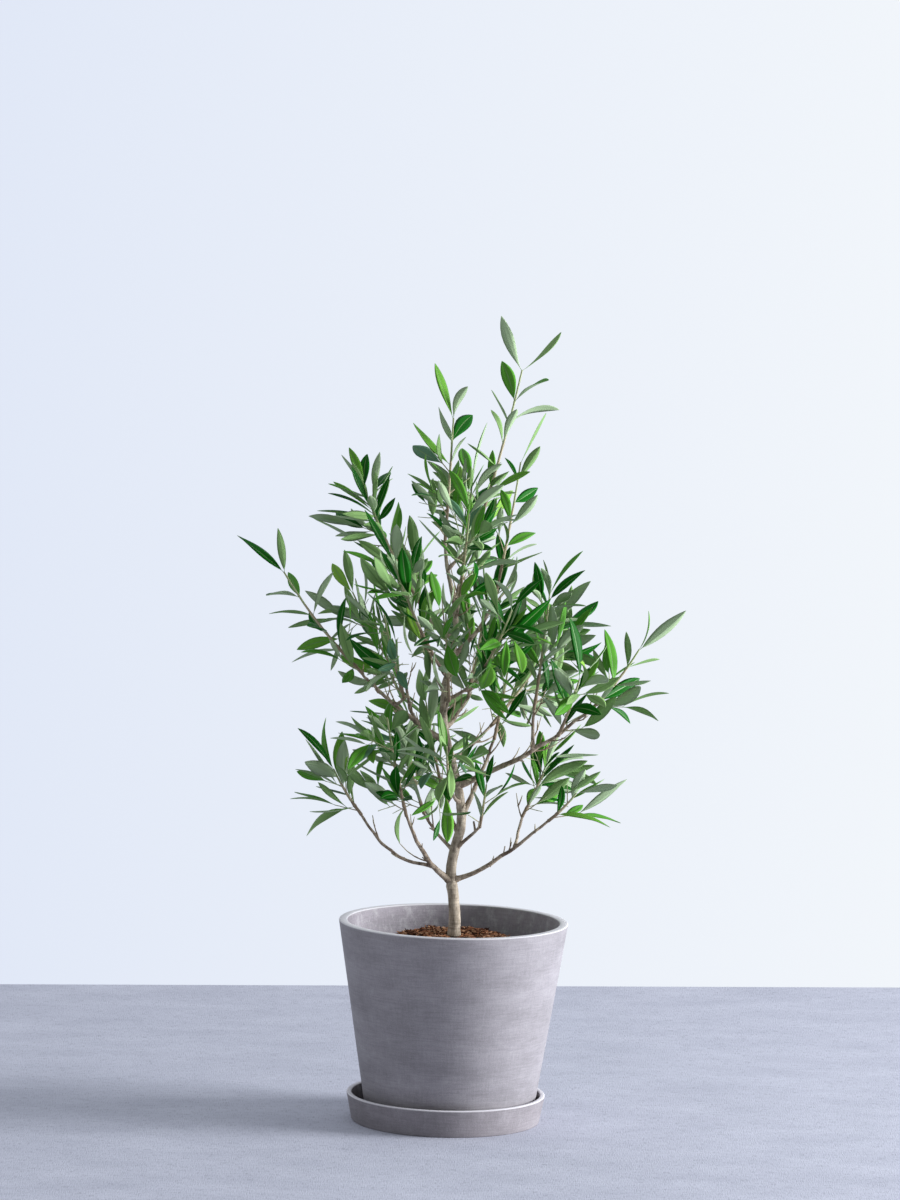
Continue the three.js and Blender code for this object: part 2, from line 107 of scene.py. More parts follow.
LIMBS = [
    Row("left_low", "trunk", 0.135, 4.2, (70, 200, 160), (104, 206, 290), 54, 0.13),
    Row("left_spreading", "left_low", 0.3, 2.3, (127, 171, 154), (164, 172, 212), 32, 0.16, fine=0.2),
    Row("left_short", "trunk", 0.215, 2.4, (50, 150, 157), (96, 141, 262), 52),
    Row("right_low", "trunk", 0.14, 3.3, (122, 348, 158), (158, 347, 196), 34, fine=0.5),
    Row("right_low_riser", "right_low", 0.62, 2.0, (86, 6, 158), (124, 12, 240), 50),
    Row("right_stub", "trunk", 0.22, 2.6, (33, 335, 146), (50, 318, 204), 34, fine=0.3),
    Row("front_low", "trunk", 0.34, 2.4, (34, 252, 195), (112, 262, 262), 50),
    Row("back_low", "trunk", 0.26, 2.8, (60, 112, 195), (143, 108, 290), 56),
    Row("leader_right", "trunk", 0.3, 3.8, (50, 22, 258), (72, 30, 348), 46),
    Row("left", "trunk", 0.495, 4.0, (128, 187, 343), (233, 187, 474), 44, shoots_to=0.3, fine=0),
    Row("left_inner", "left", 0.6, 2.2, (80, 205, 316), (118, 212, 425), 58),
    Row("left_back", "left", 0.35, 2.4, (82, 150, 322), (163, 152, 440), 52),
    Row("right", "trunk", 0.385, 4.2, (174, 350, 306), (234, 350, 386), 34, shoots_to=0.4, fine=0),
    Row("right_riser", "right", 0.53, 2.5, (97, 358, 300), (114, 3, 452), 50),
    Row("right_front", "right", 0.74, 2.2, (136, 341, 272), (172, 333, 350), 50),
    Row("back_right", "trunk", 0.45, 3.0, (60, 46, 272), (177, 42, 400), 52),
    Row("front", "trunk", 0.56, 2.6, (34, 246, 312), (86, 256, 430), 54),
    Row("front_right", "trunk", 0.6, 2.8, (38, 302, 338), (135, 298, 440), 58),
    Row("front_left", "trunk", 0.66, 2.6, (42, 212, 370), (118, 222, 492), 58),
    Row("back", "trunk", 0.53, 3.0, (45, 76, 308), (157, 78, 430), 58),
    Row("back_left", "trunk", 0.62, 2.8, (50, 134, 352), (150, 130, 486), 60),
    Row("upper_left", "trunk", 0.75, 2.8, (52, 170, 428), (134, 172, 585), 58, shoots_to=0.7),
    Row("upper_right", "trunk", 0.71, 3.2, (45, 20, 440), (77, 21, 620), 46, 0.12, shoots_to=0.4, fine=0.5),
    Row("upper_front", "trunk", 0.8, 2.4, (32, 262, 440), (90, 274, 560), 54),
    Row("upper_back", "trunk", 0.85, 2.2, (30, 92, 468), (92, 84, 590), 54),
    Row("top_right", "trunk", 0.93, 2.0, (16, 325, 520), (72, 347, 742), 40, shoots_to=0.25, fine=0.3),
]
TOP = Row("top_left", "trunk", 1, 0, None, (18, 160, 676), 50, shoots_to=0.6, fine=0.5)

# ---- The growth rule: the same values as in the part's source ----


@dataclass
class TwigRule:
    """How a kind of twig is made, where its leaf pairs stand, and from where it is skinned and young."""

    root: float
    tip: float
    first_node: float
    internode: float
    leafy_from: float
    skinned_from: float
    young_from: float


STEM = TwigRule(2.3, 1.3, first_node=14, internode=29, leafy_from=0.12, skinned_from=0.3, young_from=0.7)
SIDE = TwigRule(1.1, 0.9, first_node=16, internode=23, leafy_from=0, skinned_from=0, young_from=0.45)
STEM_STEPS, STEM_SWEEP = 5, 0.05
FIRST_SHOOT, SHOOT_EVERY = 7, 28
SHOOT_DRAWS, SHOOT_TAPER = (0.8, 1.15), 0.4
SPIRAL = 137
SIDE_LEAN = (38, 58)
SHOOT_LENGTHS = (1, 0.75, 0.5)
SHOOT_STATIONS = np.array([0.3, 0.55, 0.8, 1])
LEAF_LENGTH, LEAF_SLIMNESS = (52, 84), (0.26, 0.38)
LEAF_LEAN, TIP_LEAN, LEAF_ROLL, SKYWARD = (38, 72), (14, 40), 50, 0.6
TUCKED, TUCKED_IN, LEAF_FOOT = 0.72, 0.35, 0.02
LEAF_STATIONS = np.array([0.15, 0.35, 0.5, 0.65, 0.85, 1])
LAST_NODE = 0.88
TURN_JITTER = 22
ROOT_BACK, ROOT_OUT = 1.3, 0.2
SPACE_MARGIN, LIMB_CLEARANCE, CROSSING_MARGIN = 1.2, 0.8, 0.3
SEED_STEP, FIRST_MASS_SEED = 7919, 41
SEED_FACTOR, SEED_RANGE = 48271, 2**31 - 1
NEARLY_NONE = 0.01

# Carried on from there: pairs of leaves between the rule's pairs, and short leafy spurs along the twigs.
SPUR = TwigRule(0.9, 0.7, first_node=9, internode=14, leafy_from=0, skinned_from=0, young_from=0)
SPUR_LENGTH, SPUR_EVERY, SPUR_LEAN = (14, 32), 24, (40, 66)
FIRST_SPUR, FINE_START = (0.4, 0.9), (45, 135)
FINE_LEAF, FINE_TIP_LEAF = (0.85, 1.12), (0.7, 1.05)
FINE_SEED, LOOK_SEED = 101, 211


def between(limits, share):
    return limits[0] + (limits[1] - limits[0]) * share


def seeded(seed):
    """A function that draws the next number from 0 to 1, as in the part's source."""
    state = seed

    def draw():
        nonlocal state
        state = state * SEED_FACTOR % SEED_RANGE
        return state / SEED_RANGE

    return draw


def swing(random):
    return 2 * random() - 1


def unit(vector):
    return vector / np.linalg.norm(vector)


def square_to(vector, direction):
    return unit(vector - vector @ direction * direction)


def level_across(heading):
    return square_to(np.cross(heading, UP) + NEARLY_NONE * UP, heading)


def turned_about(vector, axis, degrees):
    turn = Matrix.Rotation(math.radians(degrees), 3, Vector(axis))
    return np.array(turn @ Vector(vector))


def spot(place):
    reach, turn, height = place
    angle = math.radians(turn)
    return np.array([reach * math.cos(angle), reach * math.sin(angle), height])


# ---- Courses: the line that a limb or twig follows, as rows of points ----


def point_on(course, share):
    place = share * (len(course) - 1)
    step = min(int(place), len(course) - 2)
    return course[step] + (course[step + 1] - course[step]) * (place - step)


def heading_on(course, share):
    step = min(int(share * (len(course) - 1)), len(course) - 2)
    return unit(course[step + 1] - course[step])


def outward_at(course, share, turn):
    """A direction square to the course at a share of it, and turned about it by so many degrees."""
    along = heading_on(course, share)
    return turned_about(level_across(along), along, turn)


def leaned(along, outward, lean, random):
    """A direction that leans out from another by an angle drawn between limits."""
    angle = math.radians(between(lean, random()))
    return along * math.cos(angle) + outward * math.sin(angle)


def length_of(course):
    return float(np.linalg.norm(np.diff(course, axis=0), axis=1).sum())


def swept_course(start, tip, sweep, steps):
    chord = tip - start
    along = unit(chord)
    down = along * along[2] - UP
    middle = (start + tip) / 2 + down * 2 * sweep * np.linalg.norm(chord)
    t = np.linspace(0, 1, steps + 1)[:, None]
    return (1 - t) ** 2 * start + 2 * t * (1 - t) * middle + t**2 * tip


def wandering_course(start, tip, sweep, random):
    course = swept_course(start, tip, sweep, BOUGH_STEPS)
    drift = BOUGH_WANDER * np.linalg.norm(tip - start)
    for point in course[1:-1]:
        point += [swing(random) * drift for _ in range(3)]
    return course


def trunk_point(height):
    """A point of the trunk's axis, which eases from bend to bend."""
    above = next(i for i, bend in enumerate(TRUNK_BENDS) if i and bend[0] >= height)
    low, high = TRUNK_BENDS[above - 1], TRUNK_BENDS[above]
    share = (height - low[0]) / (high[0] - low[0])
    ease = share * share * (3 - 2 * share)
    return [between((low[1], high[1]), ease), between((low[2], high[2]), ease), height]


def smooth_course(course, step_length):
    """A smooth curve through the course's points, in steps of about that length."""
    ends = [2 * course[0] - course[1], *course, 2 * course[-1] - course[-2]]
    points = []
    for a, b, c, d in zip(ends, ends[1:], ends[2:], ends[3:]):
        count = max(2, round(np.linalg.norm(c - b) / step_length))
        t = np.arange(count)[:, None] / count
        points.append(0.5 * (2 * b + (c - a) * t + (2 * a - 5 * b + 4 * c - d) * t**2
                             + (3 * b - a - 3 * c + d) * t**3))
    return np.vstack([*points, course[-1:]])


def distances(points, starts, ends):
    """From each point to each line from a start to an end."""
    ways = ends - starts
    offsets = points[:, None] - starts
    shares = np.clip((offsets * ways).sum(-1) / (ways * ways).sum(-1), 0, 1)
    return np.linalg.norm(offsets - shares[..., None] * ways, axis=-1)


# ---- Limbs and the stems of the masses ----


@dataclass
class Limb:
    """The trunk or a bough: its radius at any share of its course, and the one that others keep clear of."""

    name: str
    course: np.ndarray
    radius_at: object
    thickness: float
    parent: object = None


@dataclass
class Stem:
    """The twig that a mass of foliage grows from."""

    row: Row
    course: np.ndarray


@dataclass(eq=False)
class Twig:
    course: np.ndarray
    rule: TwigRule


@dataclass
class Leaf:
    """A leaf as flat as the source's, with its waist halfway; its blade is made from it."""

    twig: Twig
    base: np.ndarray
    heading: np.ndarray
    face: np.ndarray
    length: float
    width: float
    at_tip: bool = False


def tapering(root, tip):
    return lambda share: root + (tip - root) * share


def trunk_limb():
    course = np.array([trunk_point(TRUNK_HEIGHT * i / TRUNK_STEPS) for i in range(TRUNK_STEPS + 1)], float)

    def radius_at(share):
        flare = TRUNK_FLARE * np.exp(-share * TRUNK_HEIGHT / TRUNK_FLARE_HEIGHT)
        return TRUNK_TIP + TRUNK_SWELL * (1 - share) ** TRUNK_POWER + flare

    return Limb("trunk", course, radius_at, radius_at(THICKNESS_AT))


def grow_limbs():
    limbs = {"trunk": trunk_limb()}
    for index, row in enumerate(LIMBS):
        random = seeded((index + 1) * SEED_STEP)
        parent = limbs[row.on]
        course = wandering_course(point_on(parent.course, row.fork), spot(row.bough), row.sweep, random)
        limbs[row.name] = Limb(row.name, course, tapering(row.root, BOUGH_TIP), row.root, parent)
    return limbs


def mass_stem(row, limb):
    start = limb.course[-1] + heading_on(limb.course, 1) * GAP
    return Stem(row, swept_course(start, spot(row.stem), STEM_SWEEP, STEM_STEPS))


class Plant:
    """All stems and limbs, with the lines of their courses, which tell how far a point is from each."""

    def __init__(self, stems, limbs):
        self.stems = stems
        self.limbs = limbs
        self.stem_lines = self.lines_of([stem.course for stem in stems])
        self.limb_lines = self.lines_of([limb.course for limb in limbs])
        self.thickness = np.array([limb.thickness for limb in limbs])

    @staticmethod
    def lines_of(courses):
        starts = np.vstack([course[:-1] for course in courses])
        ends = np.vstack([course[1:] for course in courses])
        firsts = np.cumsum([0] + [len(course) - 1 for course in courses[:-1]])
        return starts, ends, firsts

    @staticmethod
    def nearest(points, lines):
        starts, ends, firsts = lines
        return np.minimum.reduceat(distances(points, starts, ends), firsts, axis=1)

    def clear_of_limbs(self, points, clearance):
        reach = self.thickness + np.asarray(clearance)[..., None]
        return (self.nearest(points, self.limb_lines) > reach).all(axis=1)

    def own_space(self, points, stem_index):
        to_stems = self.nearest(points, self.stem_lines)
        own = to_stems[:, stem_index] + SPACE_MARGIN
        others = np.delete(to_stems, stem_index, axis=1)
        return (others >= own[:, None]).all(axis=1)


@dataclass
class Mass:
    """What grows from one stem. It keeps to its own space, so its leaves are tried only against its own."""

    index: int
    plant: Plant
    random: object
    twigs: list
    leaves: list = field(default_factory=list)

    @property
    def stem(self):
        return self.plant.stems[self.index]

    def is_free(self, points, clearance):
        clear = self.plant.clear_of_limbs(points, clearance)
        return clear & self.plant.own_space(points, self.index)


# ---- Leaves that fit ----


def reach_of(widths, shares):
    """How far leaves of these widths reach to either side at shares of their length."""
    return widths / 2 * (1 - np.abs(2 * shares - 1))


def leaf_side(leaf):
    return np.cross(leaf.face, leaf.heading)


def leaf_point(leaf, share):
    return leaf.base + leaf.heading * leaf.length * share


def stays_in_space(leaf, mass):
    reaches = reach_of(leaf.width, LEAF_STATIONS)
    middles = leaf.base + np.outer(LEAF_STATIONS * leaf.length, leaf.heading)
    offsets = np.outer(reaches, leaf_side(leaf))
    points = np.vstack([middles, middles - offsets, middles + offsets])
    clearance = np.concatenate([reaches, 0 * reaches, 0 * reaches]) + LIMB_CLEARANCE
    return mass.is_free(points, clearance).all()


def leaf_lines(leaf):
    base, waist, tip = (leaf_point(leaf, share) for share in (LEAF_FOOT, 0.5, 1))
    side = leaf_side(leaf) * leaf.width / 2
    left, right = waist - side, waist + side
    return np.array([base, base, left, base, right]), np.array([tip, left, tip, right, tip])


def arrays_of(leaves, *keys):
    return [np.array([getattr(leaf, key) for leaf in leaves]) for key in keys]


def pierces(starts, ends, leaves):
    """Whether any line from a start to an end goes through any of these leaves."""
    base, heading, face, length, width = arrays_of(leaves, "base", "heading", "face", "length", "width")
    before = ((starts[:, None] - base) * face).sum(-1)
    after = ((ends[:, None] - base) * face).sum(-1)
    crosses = (before * after <= 0) & (before != after)
    share = np.where(crosses, before / np.where(crosses, before - after, 1), 0)
    place = starts[:, None] + (ends - starts)[:, None] * share[..., None] - base
    along = (place * heading).sum(-1) / length
    aside = np.abs((place * np.cross(face, heading)).sum(-1))
    return bool((crosses & (aside < reach_of(width, along) + CROSSING_MARGIN)).any())


def crosses_leaves(leaf, others):
    middle = leaf_point(leaf, 0.5)
    near = [other for other in others
            if np.linalg.norm(leaf_point(other, 0.5) - middle) <= (leaf.length + other.length) / 2]
    if not near:
        return False
    lines = [leaf_lines(other) for other in near]
    starts, ends = (np.vstack(part) for part in zip(*lines))
    return pierces(*leaf_lines(leaf), near) or pierces(starts, ends, [leaf])


def leaf_fits(leaf, mass):
    chords = [(twig.course[0], twig.course[-1]) for twig in mass.twigs if twig is not leaf.twig]
    if chords and pierces(*(np.array(part) for part in zip(*chords)), [leaf]):
        return False
    return not crosses_leaves(leaf, mass.leaves) and stays_in_space(leaf, mass)


def root_point(course, share, outward):
    return point_on(course, share) - heading_on(course, share) * ROOT_BACK + outward * ROOT_OUT


def drawn_leaf(twig, share, turn, lean, random):
    along = heading_on(twig.course, share)
    outward = outward_at(twig.course, share, turn)
    heading = leaned(along, outward, lean, random)
    length = between(LEAF_LENGTH, random())
    width = length * between(LEAF_SLIMNESS, random())
    roll = swing(random) * LEAF_ROLL
    face = turned_about(square_to(along + UP * SKYWARD, heading), heading, roll)
    return Leaf(twig, root_point(twig.course, share, outward), heading, face, length, width, share == 1)


def tucked_leaf(leaf, share):
    """A smaller leaf in its place, closer to the twig."""
    along = heading_on(leaf.twig.course, share)
    heading = unit(leaf.heading + (along - leaf.heading) * TUCKED_IN)
    return scaled_leaf(replace(leaf, heading=heading, face=square_to(leaf.face, heading)), TUCKED)


def scaled_leaf(leaf, scale):
    return replace(leaf, length=leaf.length * scale, width=leaf.width * scale)


def add_leaf_pair(twig, share, spin, lean, mass, scale=1):
    for half in (0, 180):
        turn = spin + half + swing(mass.random) * TURN_JITTER
        leaf = scaled_leaf(drawn_leaf(twig, share, turn, lean, mass.random), scale)
        choices = (leaf, tucked_leaf(leaf, share))
        mass.leaves += [choice for choice in choices if leaf_fits(choice, mass)][:1]


def node_shares(length, first_node, internode):
    count = max(0, int((length - first_node) // internode) + 1)
    return [(first_node + i * internode) / length for i in range(count)]


def add_leaves(twig, mass, scale=1, tip_scale=1):
    start = mass.random() * 180
    rule = twig.rule
    shares = node_shares(length_of(twig.course), rule.first_node, rule.internode)
    leafy = [share for share in shares if rule.leafy_from < share < LAST_NODE]
    for i, share in enumerate(leafy):
        add_leaf_pair(twig, share, start + 90 * i, LEAF_LEAN, mass, scale)
    add_leaf_pair(twig, 1, start + 90 * len(leafy), TIP_LEAN, mass, tip_scale)


def add_shoot(course, share, turn, lean, length, rule, mass):
    """The longest shoot, of three lengths, that stays in the mass's space."""
    outward = outward_at(course, share, turn)
    base = root_point(course, share, outward)
    way = leaned(heading_on(course, share), outward, lean, mass.random)
    for part in SHOOT_LENGTHS:
        tip = base + way * length * part
        stations = base + np.outer(SHOOT_STATIONS, tip - base)
        if mass.is_free(stations, np.full(len(stations), rule.root + LIMB_CLEARANCE)).all():
            mass.twigs.append(Twig(np.array([base, tip]), rule))
            return


def add_side_shoots(stem, mass):
    start = mass.random() * 180
    shares = node_shares(length_of(stem.course), FIRST_SHOOT, SHOOT_EVERY)
    for i, share in enumerate(share for share in shares if share < stem.row.shoots_to):
        turn = start + SPIRAL * i + swing(mass.random) * TURN_JITTER
        length = stem.row.spread * (1 - SHOOT_TAPER * share) * between(SHOOT_DRAWS, mass.random())
        add_shoot(stem.course, share, turn, SIDE_LEAN, length, SIDE, mass)


def grow_mass(index, plant):
    """The mass as the part's source grows it."""
    stem = plant.stems[index]
    mass = Mass(index, plant, seeded((index + FIRST_MASS_SEED) * SEED_STEP), [Twig(stem.course, STEM)])
    add_side_shoots(stem, mass)
    for twig in mass.twigs:
        add_leaves(twig, mass)
    return mass


# ---- Carried on to finer twigs ----


def add_spurs(twig, mass):
    """Short spurs in a spiral along a twig."""
    start = mass.random() * 360
    shares = node_shares(length_of(twig.course), SPUR_EVERY * between(FIRST_SPUR, mass.random()), SPUR_EVERY)
    for i, share in enumerate(share for share in shares if share < LAST_NODE):
        length = between(SPUR_LENGTH, mass.random())
        add_shoot(twig.course, share, start + SPIRAL * i, SPUR_LEAN, length, SPUR, mass)


def add_pairs_between(twig, mass):
    """A pair of smaller leaves halfway between each two of the rule's pairs."""
    start = between(FINE_START, mass.random())
    rule = twig.rule
    shares = node_shares(length_of(twig.course), rule.first_node + rule.internode / 2, rule.internode)
    for i, share in enumerate(share for share in shares if share < 1):
        scale = between(FINE_LEAF, mass.random())
        add_leaf_pair(twig, share, start + 90 * i, LEAF_LEAN, mass, scale)


def carry_on(mass):
    mass.random = seeded((mass.index + FINE_SEED) * SEED_STEP)
    grown = [twig for twig in mass.twigs if mass.random() < mass.stem.row.fine]
    for twig in grown:
        add_pairs_between(twig, mass)
    for twig in grown:
        add_spurs(twig, mass)
    for twig in [twig for twig in mass.twigs if twig.rule is SPUR]:
        add_leaves(twig, mass, between(FINE_LEAF, mass.random()), between(FINE_TIP_LEAF, mass.random()))


# ---- Meshes ----

FOOT = np.array([FOOT_X * MM, 0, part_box("trunk")[0].z])


def to_frame(points):
    return points * MM + FOOT


class Heap:
    """Closed shapes gathered for one mesh: their points, their faces, and each face's material."""

    def __init__(self):
        self.points, self.faces, self.kinds = [], [], []
        self.count = 0

    def add(self, points, faces, kinds=None):
        self.points.append(points)
        self.faces += [[self.count + i for i in face] for face in faces]
        self.kinds += kinds or [0] * len(faces)
        self.count += len(points)
        return self


def tube_faces(rings, around):
    """Quads from each ring of points to the next, and then a cap on either end."""
    here = np.arange(around)
    after = (here + 1) % around
    first = np.arange(rings - 1)[:, None] * around
    quads = np.stack([first + here, first + after, first + around + after, first + around + here], axis=-1)
    last = (rings - 1) * around
    return quads.reshape(-1, 4).tolist() + [list(range(around))[::-1], list(range(last, last + around))]


def ring_axes(course):
    """Two directions square to the course at each of its points."""
    tangents = np.gradient(course, axis=0)
    tangents /= np.linalg.norm(tangents, axis=1)[:, None]
    across = np.cross(course[-1] - course[0], UP)
    sides = across - (tangents @ across)[:, None] * tangents
    sides /= np.linalg.norm(sides, axis=1)[:, None]
    return sides, np.cross(tangents, sides)


def rings_along(course, radii):
    """Points round the course, where radii has a row for each ring and a column for each point of it."""
    sides, normals = ring_axes(course)
    angles = np.linspace(0, 2 * math.pi, radii.shape[1], endpoint=False)
    spokes = sides[:, None] * np.cos(angles)[:, None] + normals[:, None] * np.sin(angles)[:, None]
    return course[:, None] + spokes * radii[..., None]


def add_tube(heap, course, radii, kinds=None):
    points = rings_along(course, radii).reshape(-1, 3)
    heap.add(to_frame(points), tube_faces(*radii.shape), kinds)


def new_object(name, data):
    made = bpy.data.objects.new(name, data)
    bpy.context.scene.collection.objects.link(made)
    return made


def make_piece(name, heap, materials, replaced):
    """One mesh of the frame, in metres, that rides with the part's body."""
    mesh = bpy.data.meshes.new(name)
    mesh.from_pydata(np.vstack(heap.points).tolist(), [], heap.faces)
    for material in materials:
        mesh.materials.append(material)
    mesh.polygons.foreach_set("material_index", heap.kinds)
    mesh.shade_smooth()
    mesh.update()
    piece = new_object(name, mesh)
    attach(piece, BODY)
    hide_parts(*replaced)
    return piece


# ---- Materials ----


def set_inputs(tree, node, inputs):
    """Links each of these inputs of the node that is told by a socket, and sets the others."""
    for key, value in inputs.items():
        if isinstance(value, bpy.types.NodeSocket):
            tree.links.new(value, node.inputs[key])
        else:
            node.inputs[key].default_value = value


def new_node(tree, kind, inputs, **settings):
    node = tree.nodes.new(f"ShaderNode{kind}")
    for name, value in settings.items():
        setattr(node, name, value)
    set_inputs(tree, node, inputs)
    return node


def new_material(name, roughness, specular):
    material = bpy.data.materials.new(name)
    material.use_nodes = True
    tree = material.node_tree
    shader = tree.nodes["Principled BSDF"]
    set_inputs(tree, shader, {"Roughness": roughness, "Specular IOR Level": specular})
    return material, tree, shader


def plain(name, colour, roughness, specular):
    material, tree, shader = new_material(name, roughness, specular)
    set_inputs(tree, shader, {"Base Color": (*colour, 1)})
    return material


def frame_coordinates(tree, stretch):
    """Places in the frame, stretched along each axis, for a pattern to read."""
    source = new_node(tree, "TexCoord", {}).outputs["Object"]
    return new_node(tree, "Mapping", {"Vector": source, "Scale": stretch}).outputs["Vector"]


def noise_value(tree, stretch, detail=4, rough=0.6):
    inputs = {"Vector": frame_coordinates(tree, stretch), "Scale": 1, "Detail": detail, "Roughness": rough}
    return new_node(tree, "TexNoise", inputs).outputs["Fac"]


def mapped(tree, value, span, most=1.0, interpolation="LINEAR"):
    """A number that rises from 0 to the most as the value runs over the span."""
    inputs = {"Value": value, "From Min": span[0], "From Max": span[1], "To Max": most}
    return new_node(tree, "MapRange", inputs, interpolation_type=interpolation).outputs["Result"]


def ramp(tree, value, stops):
    """Colours along a value, told as (position, colour)."""
    node = new_node(tree, "ValToRGB", {"Fac": value})
    elements = node.color_ramp.elements
    while len(elements) < len(stops):
        elements.new(0.5)
    for element, (position, colour) in zip(elements, stops):
        element.position = position
        element.color = (*colour, 1)
    return node.outputs["Color"]


def blended(tree, mode, share, below, above):
    """Two colours mixed. An RGBA mix takes them at its inputs 6 and 7, and gives the result at output 2."""
    inputs = {0: share, 6: below, 7: above}
    return new_node(tree, "Mix", inputs, data_type="RGBA", blend_type=mode).outputs[2]


def shaded(tree, colour, value, darkest, palest):
    """The colour times a grey that runs between two (position, shade) along the value."""
    stops = [(position, (shade,) * 3) for position, shade in (darkest, palest)]
    return blended(tree, "MULTIPLY", 1.0, colour, ramp(tree, value, stops))


def flecked(tree, colour, value, span, strength):
    """The colour, paler where the value is high."""
    flecks = ramp(tree, value, [(span[0], (0, 0, 0)), (span[1], (1, 1, 1))])
    return blended(tree, "SCREEN", strength, colour, flecks)


def added(tree, *values):
    total = values[0]
    for value in values[1:]:
        total = new_node(tree, "Math", {0: total, 1: value}, operation="ADD").outputs[0]
    return total


def dress(tree, shader, colour, height, depth):
    """Gives the shader its colour and, in metres, the depth of its bumps."""
    bump = new_node(tree, "Bump", {"Distance": depth, "Height": height})
    set_inputs(tree, shader, {"Base Color": colour, "Normal": bump.outputs["Normal"]})


# ---- Pot and saucer ----

POT_WALL, POT_FLOOR, POT_TAPER = 0.011, 0.014, 0.156
SAUCER_WALL, SAUCER_FLOOR, SAUCER_SPLAY = 0.0065, 0.005, 6.5 / 36
LIP, COVE, ARC_RINGS = 0.0016, 0.0032, 5
OUTSIDE_RINGS, INSIDE_RINGS = 24, 20
ROUND_SIDES = 192
UNEVENNESS, WAVES, WAVES_UP = 0.0001, 1.7, 9
# The paler band at the rim is a painted highlight: the light on the rim's top, put into the composite's
# colour.
RIM_HIGHLIGHT_FADE = (LIP, 0.3 * LIP)  # depths below the rim at which its paleness starts and is full
RIM_HIGHLIGHT_SHARE, RIM_HIGHLIGHT_COLOUR = 0.9, (0.76, 0.74, 0.77)
MOTTLING = ((0.32, 0.84), (0.5, 1.0), (0.68, 1.14))
# A vessel's outside and inside: name, tint, and how scuffed it is.
POT_FINISHES = [
    ("composite", (0.297, 0.279, 0.298), 0.05),
    ("composite_inside", (0.305, 0.278, 0.308), 0.3),
]
SAUCER_FINISHES = [
    ("saucer_composite", (0.258, 0.236, 0.25), 0.08),
    # The saucer's inside is a darker copy of its composite: painted shade in the gap under the pot.
    ("saucer_inside_painted_shade", (0.19, 0.172, 0.18), 0.2),
]


def arc(centre, radius, first, last):
    """Points of a profile (distance from the axis, height) round a centre, from one angle to another."""
    angles = np.radians(np.linspace(first, last, ARC_RINGS))
    return [(centre[0] + radius * math.cos(a), centre[1] + radius * math.sin(a)) for a in angles]


def straight(low, high, steps):
    """The points between two of a profile's points."""
    return list(np.linspace(low, high, steps + 1)[1:-1])


def vessel_profile(rim, foot, height, wall, floor):
    """From the underside up the outside, over the lip and down the inside to the floor."""
    slope = (rim - foot) / height
    outer_lip = arc((rim - LIP, height - LIP), LIP, 0, 90)
    inner_lip = arc((rim - wall + LIP, height - LIP), LIP, 90, 180)
    low_edge = arc((foot - LIP, LIP), LIP, 270, 360)
    inner_foot = rim - wall - slope * (height - floor)
    cove = arc((inner_foot - COVE, floor + COVE), COVE, 0, -90)
    outside = straight(low_edge[-1], outer_lip[0], OUTSIDE_RINGS)
    inside = straight(inner_lip[-1], cove[0], INSIDE_RINGS)
    return [(foot / 2, 0), *low_edge, *outside, *outer_lip, *inner_lip, *inside, *cove, (foot / 2, floor)]


def lathe(profile, centre):
    """The profile turned round an upright axis, a little wavy; the inside has a material of its own."""
    points = []
    for radius, height in profile:
        for angle in np.linspace(0, 2 * math.pi, ROUND_SIDES, endpoint=False):
            way = Vector((math.cos(angle), math.sin(angle), height * WAVES_UP))
            reach = radius - UNEVENNESS * (1 + noise.noise(way * WAVES))
            points.append((centre[0] + reach * way.x, centre[1] + reach * way.y, centre[2] + height))
    faces = tube_faces(len(profile), ROUND_SIDES)
    lip = max(range(len(profile)), key=lambda ring: profile[ring][1])
    inside = (len(profile) - 1 - lip - ARC_RINGS) * ROUND_SIDES
    outside = len(faces) - 2 - inside
    return Heap().add(np.array(points), faces, [0] * outside + [1] * inside + [0, 1])


def painted_rim_highlight(tree, rim_height):
    """A share of painted highlight, for the light on the rim, that rises from none over the last of the wall
    below the rim.
    """
    places = new_node(tree, "SeparateXYZ", {"Vector": frame_coordinates(tree, (1, 1, 1))})
    return mapped(tree, places.outputs["Z"], [rim_height - depth for depth in RIM_HIGHLIGHT_FADE], RIM_HIGHLIGHT_SHARE)


def composite_material(rim_height, name, tint, scuffing):
    """Stone-grey composite: slow mottling, fine brushing both ways, specks, pale scuffs and a painted
    highlight along the rim.
    """
    material, tree, shader = new_material(name, roughness=0.72, specular=0.35)
    mottling = noise_value(tree, (11, 11, 30), 6)
    rows = noise_value(tree, (36, 36, 520), 4)
    columns = noise_value(tree, (420, 420, 16), 2)
    grain = noise_value(tree, (900, 900, 900), 2)
    scuffs = noise_value(tree, (64, 64, 44), 7, 0.78)
    stops = [(position, tuple(shade * part for part in tint)) for position, shade in MOTTLING]
    colour = ramp(tree, mottling, stops)
    for value, depth in ((rows, 0.9), (columns, 0.95), (grain, 0.88)):
        colour = shaded(tree, colour, value, (0.3, depth), (0.7, 2 - depth))
    colour = flecked(tree, colour, scuffs, (0.5, 0.72), scuffing)
    # Painted highlight along the rim.
    colour = blended(tree, "MIX", painted_rim_highlight(tree, rim_height), colour, (*RIM_HIGHLIGHT_COLOUR, 1))
    dress(tree, shader, colour, added(tree, rows, columns, grain), depth=0.00012)
    return material


def round_of(node):
    """The foot of a round solid's axis, its radius, and how high its top is."""
    low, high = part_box(node)
    return ((low.x + high.x) / 2, (low.y + high.y) / 2, low.z), (high.x - low.x) / 2, high.z


def make_vessel(node, slope, wall, floor, finishes):
    foot, rim, top = round_of(node)
    height = top - foot[2]
    profile = vessel_profile(rim, rim - slope * height, height, wall, floor)
    materials = [composite_material(top, *finish) for finish in finishes]
    make_piece(f"{node}_shell", lathe(profile, foot), materials, [node])


# ---- Soil and mulch ----

